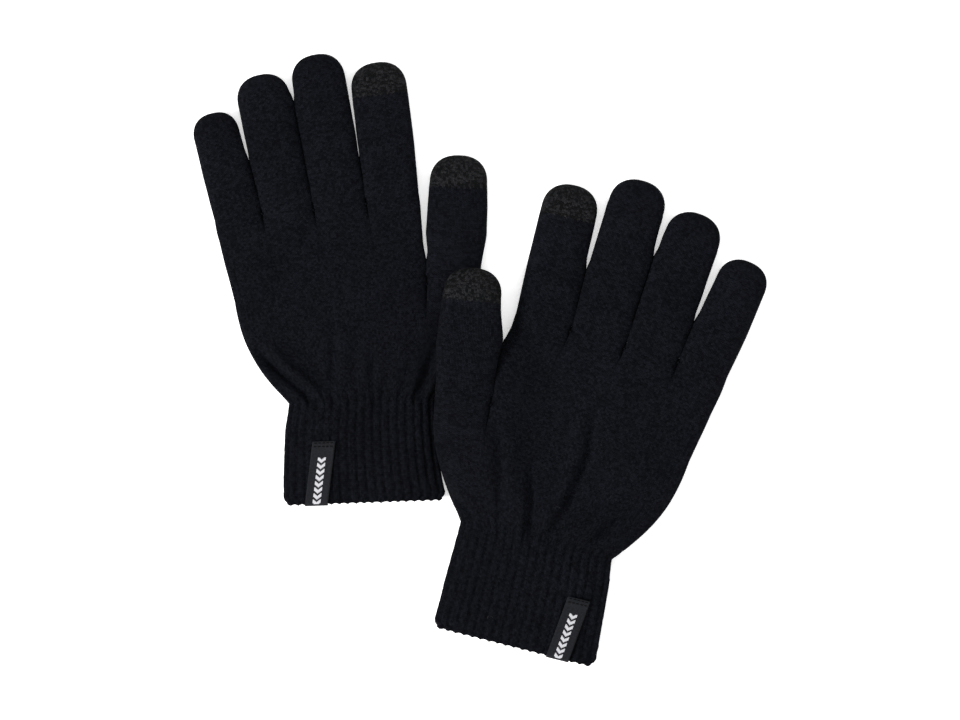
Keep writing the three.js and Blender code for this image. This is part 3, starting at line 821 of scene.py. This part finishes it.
    def fold(self, folds):
        """Presses the glove's folds in: each is a line up the hand, a valley with a ridge beside it."""
        x, y = self.hand.read(self.points)
        top = self.normals()[:, 2] > 0.15
        lift = np.zeros(len(x))
        for line, depth, width, ridge in folds:
            line = np.array(line) * MM
            nearest, offset, share = np.full(len(x), 1.0), np.zeros(len(x)), np.zeros(len(x))
            reach = np.linalg.norm(np.diff(line, axis=0), axis=1)
            before = np.concatenate([[0], np.cumsum(reach)])
            for k, (a, b) in enumerate(zip(line, line[1:])):
                d = b - a
                t = np.clip(((x - a[0]) * d[0] + (y - a[1]) * d[1]) / (d @ d), 0, 1)
                px, py = x - a[0] - t * d[0], y - a[1] - t * d[1]
                far = np.hypot(px, py)
                closer = far < nearest
                nearest = np.where(closer, far, nearest)
                signed = np.sign(px * d[1] - py * d[0]) * far
                offset = np.where(closer, signed, offset)
                share = np.where(closer, (before[k] + t * reach[k]) / before[-1], share)
            taper = np.clip(np.sin(np.pi * (0.12 + 0.76 * share)), 0, 1)
            valley = np.exp(-((offset / (width * MM)) ** 2))
            crest = np.exp(-(((offset - ridge * 1.9 * width * MM) / (1.5 * width * MM)) ** 2))
            lift += taper * depth * MM * (0.75 * crest - valley)
        self.points[:, 2] += np.where(top & (self.kinds != CUFF_INSIDE), lift, 0)

    def ripple(self, settings, seed):
        """The uneven lie of a soft knit, and the small pleats where the rib draws the palm in."""
        rng = random.Random(seed)
        phases = [(rng.uniform(0.08, 0.3), rng.uniform(0, 6.3), rng.uniform(0.5, 1)) for _ in range(7)]
        top = ease(self.normals()[:, 2], 0.0, 0.5)
        pleat = sum(w * np.sin(f * 2 * self.columns + p) for f, p, w in phases) / 3
        fade = ease(self.courses, 0, 5 * MM) * np.exp(-np.maximum(self.courses, 0) / (15 * MM))
        fade = np.where(self.kinds == HAND, fade, 0)
        soft = rough(self.points, 48, 30, seed * 7.3) + 0.5 * rough(self.points, 130, 90, seed * 3.1)
        low = np.where(self.kinds == CUFF_INSIDE, 0, 1)
        puff = ease(self.courses, 0, 6 * MM) * (1 - ease(self.courses, 10 * MM, 34 * MM))
        self.points[:, 2] += top * np.where(self.kinds == HAND, puff, 0) * 1.1 * MM
        self.points[:, 2] += top * low * (settings.gather * pleat * fade + settings.ripple * soft)
        edge = (1 - np.abs(self.normals()[:, 2])) * low
        wander = rough(self.points, 90, 90, seed * 5.7 + 9)
        self.points += self.normals() * (edge * wander * 0.15 * MM)[:, None]
        self.points[:, 2] = np.maximum(self.points[:, 2], 0.0)

    def piece(self, patch_name, name, material):
        """One patch as its own mesh, shaded as part of the whole glove."""
        faces, corners = self.faces[patch_name]
        used = np.unique(np.concatenate([np.array(f) for f in faces]))
        renumber = {int(v): i for i, v in enumerate(used)}
        mesh = bpy.data.meshes.new(name)
        mesh.from_pydata(self.points[used].tolist(), [], [[renumber[v] for v in f] for f in faces])
        lay_pattern(mesh, "knit", "CORNER", [place for face in corners for place in face])
        piece = show(name, mesh, material)
        mesh.normals_split_custom_set_from_vertices(self.shading[used].tolist())
        return piece


# How far up from each fork the fingers lie against each other, in millimetres, and the thumb against
# the palm.
TOUCHING = {
    "left": {"little": 28, "ring": 56, "middle": 22, "thumb": 5},
    "right": {"little": 22, "ring": 48, "middle": 32, "thumb": 25},
}

# Folds of each hand, in millimetres from the wrist's middle, towards the thumb and up the hand: the
# line, its depth, its width, and the side of its ridge.
FOLDS = {
    "left": [
        ([(-51, 33), (-40, 20), (-24, 2)], 4.8, 2.4, -1),
        ([(-9, 42), (-12, 24), (-15, 2)], 2.0, 2.8, -1),
        ([(9, 27), (7, 13), (6, 1)], 1.7, 2.2, 1),
        ([(43, 24), (37, 12), (30, -1)], 2.2, 2.6, -1),
        ([(-20, 96), (-17, 84)], 0.8, 2.4, 1),
        ([(13, 97), (17, 84)], 1.0, 2.2, -1),
    ],
    "right": [
        ([(-9, 74), (-12.6, 51), (-11.8, 40), (-9.8, 20), (-5, 3)], 3.2, 2.6, -1),
        ([(-24, 3), (-38, 22)], 2.6, 2.3, 1),
        ([(37, 52), (28, 25), (20, 2)], 2.2, 3.2, 1),
        ([(14, 36), (9, 18), (5, 2)], 1.9, 2.3, -1),
        ([(52, 11), (36, 3)], 1.6, 2.0, 1),
        ([(6, 101), (14, 92)], 0.9, 2.2, 1),
    ],
}

GLOVES = {}


def glove(side):
    """The laid-out knit of one glove, made once."""
    if side not in GLOVES:
        scene = bpy.context.scene
        made = Glove(side, scene.glove_knit.row)
        made.lay_out(scene.glove_cuff)
        made.fold(FOLDS[side])
        made.ripple(scene.glove_knit, SIDES.index(side) + 1)
        made.rib(scene.glove_cuff)
        made.shading = made.normals()
        GLOVES[side] = made
    return GLOVES[side]


# ---- Pieces ----------------------------------------------------------------------------------------


class GLOVE_OT_palms(bpy.types.Operator):
    """Knit the palms"""

    bl_idname = "glove.palms"
    bl_label = "Palms"

    def execute(self, context):
        knit = context.scene.glove_knit
        material = knit_material("Spun acrylic plain knit", knit.yarn, 1.0, knit.course, 0.35)
        for side in SIDES:
            for part in ("lower_palm", "upper_palm"):
                piece = glove(side).piece(part, f"{side}_{part}_knit", material)
                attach(piece, f"{side}_hand")
                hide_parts(f"{side}_{part}")
        return {"FINISHED"}


class GLOVE_OT_fingers(bpy.types.Operator):
    """Knit the fingers and thumbs"""

    bl_idname = "glove.fingers"
    bl_label = "Fingers and thumbs"

    def execute(self, context):
        material = bpy.data.materials["Spun acrylic plain knit"]
        for side in SIDES:
            made = glove(side)
            for name in (*FINGERS, "thumb"):
                node = f"{side}_thumb" if name == "thumb" else f"{side}_{name}_finger"
                piece = made.piece(name, f"{side}_{name}_knit", material)
                axes = made.thumb if name == "thumb" else made.fingers[name]
                root = made.thumb_root if name == "thumb" else 0.0
                start, end = axes.place([0, 0], [root + reach for reach in FINGER_BEND])
                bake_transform(piece)
                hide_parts(node)
        return {"FINISHED"}


class GLOVE_OT_touch_tips(bpy.types.Operator):
    """Knit the conductive tips of the index fingers and thumbs"""

    bl_idname = "glove.touch_tips"
    bl_label = "Touch tips"

    def execute(self, context):
        material = conductive_material(context.scene.glove_tips, context.scene.glove_knit.course)
        for side in SIDES:
            for name in ("index", "thumb"):
                piece = glove(side).piece(f"{name}_tip", f"{side}_{name}_touch_knit", material)
                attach(piece, f"{side}_{name}")
                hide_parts(f"{side}_{name}_touch_tip")
        return {"FINISHED"}


class GLOVE_OT_cuffs(bpy.types.Operator):
    """Knit the rib cuffs"""

    bl_idname = "glove.cuffs"
    bl_label = "Rib cuffs"

    def execute(self, context):
        knit = context.scene.glove_knit
        material = knit_material("Spun acrylic rib knit", knit.yarn, 2 / 3, knit.course, 0.4)
        for side in SIDES:
            made = glove(side)
            piece = made.piece("cuff", f"{side}_cuff_knit", material)
            if side == "left":
                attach(piece, "left_hand")
            else:
                start, end = made.cuff.place([0, 0], [made.wrist_y - reach for reach in CUFF_BEND])
                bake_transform(piece)
            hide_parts(f"{side}_cuff")
        return {"FINISHED"}


def tubes(name, paths, radius, material, closed=False, sides=8):
    """Threads as one mesh: a round tube along each path, closed into a ring or with rounded ends."""
    points, faces, lie = [], [], []
    for path in paths:
        path = np.asarray(path, float)
        count = len(path)
        ahead = np.roll(path, -1, 0) - np.roll(path, 1, 0)
        if not closed:
            ahead[0], ahead[-1] = path[1] - path[0], path[-1] - path[-2]
        ahead /= np.linalg.norm(ahead, axis=1, keepdims=True)
        reach = np.concatenate([[0], np.cumsum(np.linalg.norm(np.diff(path, axis=0), axis=1))])
        side = np.cross(ahead[0], (0, 0, 1) if abs(ahead[0][2]) < 0.8 else (1, 0, 0))
        first = len(points)
        for i in range(count):
            side = side - ahead[i] * (side @ ahead[i])
            side /= np.linalg.norm(side)
            other = np.cross(ahead[i], side)
            end = 1.0 if closed or 0 < i < count - 1 else 0.55
            for k in range(sides):
                angle = 2 * math.pi * k / sides
                out = math.cos(angle) * side + math.sin(angle) * other
                points.append(path[i] + radius * end * out)
                lie.append((reach[i], k / sides, 0.0))
        for i in range(count if closed else count - 1):
            a, b = first + i * sides, first + (i + 1) % count * sides
            for k in range(sides):
                n = (k + 1) % sides
                faces.append((a + k, a + n, b + n, b + k))
        if not closed:
            last = first + (count - 1) * sides
            faces.append([first + k for k in reversed(range(sides))])
            faces.append([last + k for k in range(sides)])
    mesh = bpy.data.meshes.new(name)
    mesh.from_pydata([tuple(p) for p in points], [], faces)
    lay_pattern(mesh, "thread", "POINT", lie)
    return show(name, mesh, material)


def thread_material(name, colour, twist, roughness):
    """Thread or yarn of any fibre, spun from plies. They wind round it, and each ply's crown is painted
    lighter, a painted highlight, with painted shade between plies. twist is how far one ply runs in a
    full turn."""
    material, tree, shader = new_material(name)
    lie = add(tree, "Attribute", attribute_name="thread").outputs["Vector"]
    split = add(tree, "SeparateXYZ", lie)
    along, round_it = split.outputs["X"], split.outputs["Y"]
    wind = add(tree, "Math", along, 1 / twist, round_it, operation="MULTIPLY_ADD")
    ply = add(tree, "Math", wave(tree, wind), 0.5, 0.5, operation="MULTIPLY_ADD")
    # Painted highlight and shade: the colour is lighter on each ply's crown and darker between the plies.
    shade = add(tree, "Math", ply, 0.8, 0.5, operation="MULTIPLY_ADD")
    colour = add(tree, "VectorMath", linear(colour)[:3], inputs={"Scale": shade}, operation="SCALE")
    surface(tree, shader, colour.outputs[0], ply, 0.08 * MM, roughness, 0.03)
    return material


def label_material(settings):
    """Damask-woven polyester: fine ribs of weft, with a pattern brought up in pale weft. Its close,
    filament weave is smoother than the knit and takes a soft satin light."""
    material, tree, shader = new_material("Damask-woven polyester")
    lie = add(tree, "Attribute", attribute_name="weave").outputs["Vector"]
    split = add(tree, "SeparateXYZ", lie)
    across, down = split.outputs["X"], split.outputs["Y"]
    pick = add(tree, "Math", down, 1 / WEFT_STEP, operation="MULTIPLY")
    warp = add(tree, "Math", across, 1 / WARP_STEP, operation="MULTIPLY")
    weave = add(tree, "Math", wave(tree, pick), wave(tree, warp), operation="MULTIPLY")
    weave = add(tree, "Math", weave, 0.5, 0.5, operation="MULTIPLY_ADD")
    # A plain ladder of chevrons runs down the middle, stepped as the weave steps.
    wing = add(tree, "Math", warp, operation="ROUND")
    wing = add(tree, "Math", wing, WARP_STEP, operation="MULTIPLY")
    wing = add(tree, "Math", wing, operation="ABSOLUTE")
    climb = add(tree, "Math", wing, 0.8, down, operation="MULTIPLY_ADD")
    beat = add(tree, "Math", climb, CHEVRON_STEP, operation="DIVIDE")
    beat = add(tree, "Math", beat, operation="FRACT")
    figure = add(tree, "Math", beat, 0.6, operation="LESS_THAN")
    bounds = (
        (wing, "LESS_THAN", LADDER_HALF),
        (down, "GREATER_THAN", LADDER_TOP),
        (down, "LESS_THAN", LADDER_FOOT),
    )
    for place, side, limit in bounds:
        inside = add(tree, "Math", place, limit, operation=side)
        figure = add(tree, "Math", figure, inside, operation="MULTIPLY")
    speck = add(tree, "TexNoise", inputs={"Vector": lie, "Scale": 1 / LABEL_SPECK, "Detail": 3.0})
    shade = add(tree, "Math", speck, 2.6, -0.3, operation="MULTIPLY_ADD")
    ground = linear(settings.ground)[:3]
    ground = add(tree, "VectorMath", ground, inputs={"Scale": shade}, operation="SCALE")
    lit = add(tree, "Math", weave, 0.25, 0.75, operation="MULTIPLY_ADD")
    lit = add(tree, "Math", figure, lit, operation="MULTIPLY")
    colours = {"Factor": lit, 6: ground, 7: linear(settings.figure)}
    mix = add(tree, "Mix", inputs=colours, data_type="RGBA")
    height = add(tree, "Math", figure, 0.8, weave, operation="MULTIPLY_ADD")
    surface(tree, shader, mix.outputs[2], height, 0.12 * MM, 0.6, 0.1)
    return material


class Label:
    """The strip folded round a cuff's hem: where it lies, and its cloth."""

    def __init__(self, made, cloth, wall):
        self.made, self.cloth, self.wall = made, cloth, wall
        node = f"{made.side}_label"
        x, y = made.cuff.read(node_points(node))
        top, foot = y > y.max() - 1 * MM, y < y.min() + 1 * MM
        self.top_y, self.foot_y = y.max(), y.min()
        self.top_x = (x[top].min() + x[top].max()) / 2
        self.foot_x = (x[foot].min() + x[foot].max()) / 2
        self.width = np.ptp(x[top])
        self.length = self.top_y - made.hem_y
        self.under = made.points[(made.kinds == CUFF_OUTSIDE) & (made.shading[:, 2] > 0.2)]

    def centre(self, y):
        return np.interp(y, [self.foot_y, self.top_y], [self.foot_x, self.top_x])

    def rest(self, place):
        """Height of the cuff's ribs below a place."""
        near = np.linalg.norm(self.under[:, :2] - place, axis=1) < 2.4 * MM
        return self.under[near, 2].max()

    def lie(self, from_hem, across):
        y = self.made.hem_y + from_hem
        x = self.centre(y) + across
        return self.made.cuff.place(x, y)

    def path(self):
        """The strip seen from the side: how far above the hem, and how far above the ribs."""
        above, below = 0.15 * MM + self.cloth / 2, -(self.wall + 1.1 * MM)
        middle, half = (above + below) / 2, (above - below) / 2
        front = [(u, above) for u in np.linspace(self.length, 0, 36)]
        turn = [
            (-1.5 * MM * math.sin(a), middle + half * math.cos(a))
            for a in np.linspace(0, math.pi, 10)[1:-1]
        ]
        back = [(u, below) for u in np.linspace(0, self.length, 24)]
        return np.array(front + turn + back)

    def build(self, name, material):
        path = self.path()
        step = np.linalg.norm(np.diff(path, axis=0), axis=1)
        reach = np.concatenate([[0], np.cumsum(step)])
        self.flat_length = reach[-1]
        columns = 14
        sides = np.linspace(-self.width / 2, self.width / 2, columns + 1)
        rows = len(path)
        grid = np.zeros((rows, columns + 1, 3))
        for i, (from_hem, above) in enumerate(path):
            for j, across in enumerate(sides):
                place = self.lie(max(from_hem, -1.5 * MM), across)
                rest = self.rest(self.lie(max(from_hem, 1.5 * MM), across))
                # The selvedges lift a little off the ribs.
                curl = 0.22 * MM * abs(across / (self.width / 2)) ** 6 * (above > 0)
                grid[i, j] = (*place, rest + above + curl)
        for _ in range(3):
            grid[1:-1, :, 2] = (grid[:-2, :, 2] + 2 * grid[1:-1, :, 2] + grid[2:, :, 2]) / 4
            grid[:, 1:-1, 2] = (grid[:, :-2, 2] + 2 * grid[:, 1:-1, 2] + grid[:, 2:, 2]) / 4
        down = np.gradient(grid, axis=0)
        over = np.gradient(grid, axis=1)
        out = np.cross(over, down)
        out /= np.linalg.norm(out, axis=2, keepdims=True)
        if out[2, columns // 2, 2] < 0:
            out = -out
        # The cut end is turned under, so the top of the label is double.
        double = 1 + 0.9 * (1 - ease(reach, 4.0 * MM, 4.9 * MM))
        thick = (self.cloth / 2 * double)[:, None, None]
        lower = -(self.cloth / 2) * np.ones_like(thick)
        self.front = grid + out * (2 * thick - self.cloth / 2)
        layers = np.concatenate([self.front.reshape(-1, 3), (grid + out * lower).reshape(-1, 3)])
        count, wide = rows * (columns + 1), columns + 1
        faces = []
        for i in range(rows - 1):
            for j in range(columns):
                a = i * wide + j
                quad = [a, a + 1, a + wide + 1, a + wide]
                faces += [quad, [v + count for v in reversed(quad)]]
        rim = [j for j in range(wide)] + [i * wide + columns for i in range(1, rows)]
        rim += [(rows - 1) * wide + j for j in range(columns - 1, -1, -1)]
        rim += [i * wide for i in range(rows - 2, 0, -1)]
        for a, b in zip(rim, rim[1:] + rim[:1]):
            faces.append([b, a, a + count, b + count])
        mesh = bpy.data.meshes.new(name)
        mesh.from_pydata(layers.tolist(), [], faces)
        weave = np.zeros((rows, wide, 3))
        weave[..., 0], weave[..., 1] = sides[None], reach[:, None]
        lay_pattern(mesh, "weave", "POINT", np.concatenate([weave.reshape(-1, 3)] * 2))
        piece = show(name, mesh, material)
        # The walk round the rim may face in, so the whole is turned outwards.
        tidy = bmesh.new()
        tidy.from_mesh(mesh)
        bmesh.ops.recalc_face_normals(tidy, faces=tidy.faces)
        tidy.to_mesh(mesh)
        tidy.free()
        self.reach = reach
        return piece

    def stitches(self, from_top):
        """A row of running stitches across the label, from_top below its end."""
        i = int(np.argmin(np.abs(self.reach - from_top)))
        row = self.front[i]
        paths = []
        for k in range(5):
            at = np.linspace(0.08 + 0.178 * k, 0.08 + 0.178 * k + 0.125, 7) * (len(row) - 1)
            low = np.floor(at).astype(int)
            share = (at - low)[:, None]
            line = row[low] * (1 - share) + row[np.minimum(low + 1, len(row) - 1)] * share
            line[:, 2] += 0.24 * MM * np.sin(np.linspace(0, math.pi, 7)) - 0.1 * MM
            paths.append(line)
        return paths


class GLOVE_OT_rubber_threads(bpy.types.Operator):
    """Lay the rubber threads inside the cuffs"""

    bl_idname = "glove.rubber_threads"
    bl_label = "Rubber threads"

    def execute(self, context):
        wall = context.scene.glove_cuff.wall
        material = thread_material("Polyester-covered rubber", "#101013", 0.9 * MM, 0.7)
        for side in SIDES:
            made = glove(side)
            for number in (1, 2, 3):
                node = f"{side}_cuff_elastic_{number}"
                x, y = made.cuff.read(node_points(node))
                radius = np.ptp(y) / 2
                ring = made.ring(y.mean(), wall + radius + 0.1 * MM)
                piece = tubes(f"{side}_rubber_thread_{number}", [ring], radius, material, closed=True)
                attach(piece, "left_hand" if side == "left" else "right_cuff")
                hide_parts(node)
        return {"FINISHED"}


class GLOVE_OT_labels(bpy.types.Operator):
    """Fold the labels round the hems and stitch them down"""

    bl_idname = "glove.labels"
    bl_label = "Labels"

    def execute(self, context):
        scene = context.scene
        weave = label_material(scene.glove_label)
        thread = thread_material("Spun polyester thread", "#08080a", 0.6 * MM, 0.8)
        for side in SIDES:
            body = "left_hand" if side == "left" else "right_cuff"
            label = Label(glove(side), scene.glove_label.cloth, scene.glove_cuff.wall)
            cloth = label.build(f"{side}_label_cloth", weave)
            for number in (1, 2):
                node = f"{side}_label_stitching_{number}"
                y = glove(side).cuff.read(node_points(node))[1].mean()
                paths = label.stitches(label.top_y - y)
                row = tubes(f"{side}_label_stitches_{number}", paths, LABEL_THREAD, thread)
                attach(row, body)
                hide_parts(node)
            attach(cloth, body)
            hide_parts(f"{side}_label")
        return {"FINISHED"}


class GLOVE_OT_fork_stitches(bpy.types.Operator):
    """Close the forks with a few turns of yarn"""

    bl_idname = "glove.fork_stitches"
    bl_label = "Fork stitches"

    def execute(self, context):
        material = thread_material("Spun acrylic yarn", context.scene.glove_knit.yarn, 1.2 * MM, 0.9)
        for side in SIDES:
            made = glove(side)
            for number in (1, 2, 3, 4):
                node = f"{side}_fork_stitch_{number}"
                low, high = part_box(node)
                middle = np.array((low + high) / 2)
                tall = (high.z - low.z) / 2
                turns = []
                for angle in np.linspace(0, 6 * math.pi, 61):
                    drift = 0.32 * MM * (angle / (3 * math.pi) - 1)
                    place = middle[:2] + made.hand.along * 0.5 * MM * math.sin(angle)
                    place = place + made.hand.across * drift
                    turns.append((*place, middle[2] + tall * math.cos(angle)))
                piece = tubes(f"{side}_fork_yarn_{number}", [turns], FORK_YARN, material)
                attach(piece, f"{side}_hand")
                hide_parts(node)
        return {"FINISHED"}


# Bits of fluff caught on the right glove: how far towards the thumb and up the hand, and how curled.
FLUFF = [((-5.0, 19.6), 0.9, "right_hand"), ((11.5, -46.2), 1.2, "right_cuff")]


class GLOVE_OT_fluff(bpy.types.Operator):
    """Catch a few bits of fluff on the knit"""

    bl_idname = "glove.fluff"
    bl_label = "Fluff"

    def execute(self, context):
        material = thread_material("Cotton fluff", "#2a2a2d", 1.1 * MM, 0.95)
        made = glove("right")
        face = made.points[(made.shading[:, 2] > 0.3) & (made.kinds != CUFF_INSIDE)]
        for number, ((x, y), turns, body) in enumerate(FLUFF, 1):
            middle = made.hand.place(x * MM, y * MM)
            path = []
            for t in np.linspace(0, 1, 22):
                angle = turns * math.pi * t
                size = (1.9 - 1.1 * t) * MM
                flat = middle + size * np.array([math.cos(angle), 0.7 * math.sin(angle)])
                near = np.linalg.norm(face[:, :2] - flat, axis=1) < 1.6 * MM
                path.append((*flat, face[near, 2].max() + (0.15 + 0.5 * t) * MM))
            piece = tubes(f"right_fluff_{number}", [path], FLUFF_FIBRE, material, sides=5)
            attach(piece, body)
        return {"FINISHED"}


class GLOVE_OT_stage(bpy.types.Operator):
    """Lay the floor, the lights and the camera"""

    bl_idname = "glove.stage"
    bl_label = "Stage"

    def execute(self, context):
        settings = context.scene.glove_stage
        # Opal acrylic, cast and sanded matt. It is lit from below as a packshot table is, which keeps it
        # white beside the gloves.
        material, tree, shader = new_material("Lit opal acrylic")
        grain = add(tree, "TexNoise", inputs={"Scale": 900.0, "Detail": 3.0})
        bump = add(tree, "Bump", inputs={"Height": grain, "Distance": 0.02 * MM})
        tree.links.new(bump.outputs[0], shader.inputs["Normal"])
        shader.inputs["Base Color"].default_value = linear(settings.floor)
        shader.inputs["Roughness"].default_value = 0.9
        shader.inputs["Emission Color"].default_value = (1, 1, 1, 1)
        shader.inputs["Emission Strength"].default_value = TABLE_LIGHT
        mesh = bpy.data.meshes.new("light_table")
        signs = ((-1, -1), (1, -1), (1, 1), (-1, 1))
        mesh.from_pydata([(x * TABLE_HALF, y * TABLE_HALF, 0) for x, y in signs], [], [(0, 1, 2, 3)])
        floor = show("light_table", mesh, material)
        floor.location.z = -0.1 * MM

        # The room alone brings the table to white, so the key light leaves no hard shadow on it.
        world = bpy.data.worlds.new("Pale room")
        world.use_nodes = True
        background = world.node_tree.nodes["Background"]
        background.inputs["Color"].default_value = (1, 1, 1, 1)
        background.inputs["Strength"].default_value = ROOM_LIGHT
        context.scene.world = world
        key = bpy.data.lights.new("Window light", "SUN")
        key.energy = KEY_LIGHT
        key.angle = math.radians(KEY_ANGLE)
        lamp = bpy.data.objects.new("Window light", key)
        lamp.rotation_euler = Vector((-1.0, -0.3, 0.78)).to_track_quat("Z", "Y").to_euler()
        context.scene.collection.objects.link(lamp)

        lens = bpy.data.cameras.new("Camera")
        lens.sensor_width = SENSOR_MM
        lens.lens = SENSOR_MM * CAMERA_HEIGHT / settings.view_width
        camera = bpy.data.objects.new("Camera", lens)
        camera.location = (0, 0, CAMERA_HEIGHT)
        context.scene.collection.objects.link(camera)
        context.scene.camera = camera
        context.scene.view_settings.view_transform = "Standard"
        return {"FINISHED"}


class GLOVE_PT_panel(bpy.types.Panel):
    """The gloves' pieces and their sizes"""

    bl_idname = "GLOVE_PT_panel"
    bl_label = "Touchscreen Gloves"
    bl_space_type = "VIEW_3D"
    bl_region_type = "UI"
    bl_category = "Gloves"

    def draw(self, context):
        for group in SETTINGS:
            settings = getattr(context.scene, group)
            box = self.layout.box()
            for prop in settings.bl_rna.properties:
                if prop.identifier not in ("rna_type", "name"):
                    box.prop(settings, prop.identifier)
        for operator in OPERATORS:
            self.layout.operator(operator.bl_idname)


SETTINGS = {
    "glove_knit": KnitSettings,
    "glove_cuff": CuffSettings,
    "glove_tips": TipSettings,
    "glove_label": LabelSettings,
    "glove_stage": StageSettings,
}
OPERATORS = (
    GLOVE_OT_palms,
    GLOVE_OT_fingers,
    GLOVE_OT_touch_tips,
    GLOVE_OT_cuffs,
    GLOVE_OT_rubber_threads,
    GLOVE_OT_labels,
    GLOVE_OT_fork_stitches,
    GLOVE_OT_fluff,
    GLOVE_OT_stage,
)
CLASSES = (*SETTINGS.values(), *OPERATORS, GLOVE_PT_panel)


def register():
    for cls in CLASSES:
        bpy.utils.register_class(cls)
    for group, cls in SETTINGS.items():
        setattr(bpy.types.Scene, group, bpy.props.PointerProperty(type=cls))


def unregister():
    for group in SETTINGS:
        delattr(bpy.types.Scene, group)
    for cls in reversed(CLASSES):
        bpy.utils.unregister_class(cls)


def main():
    register()
    for operator in OPERATORS:
        area, name = operator.bl_idname.split(".")
        getattr(getattr(bpy.ops, area), name)()


if __name__ == "__main__":
    main()
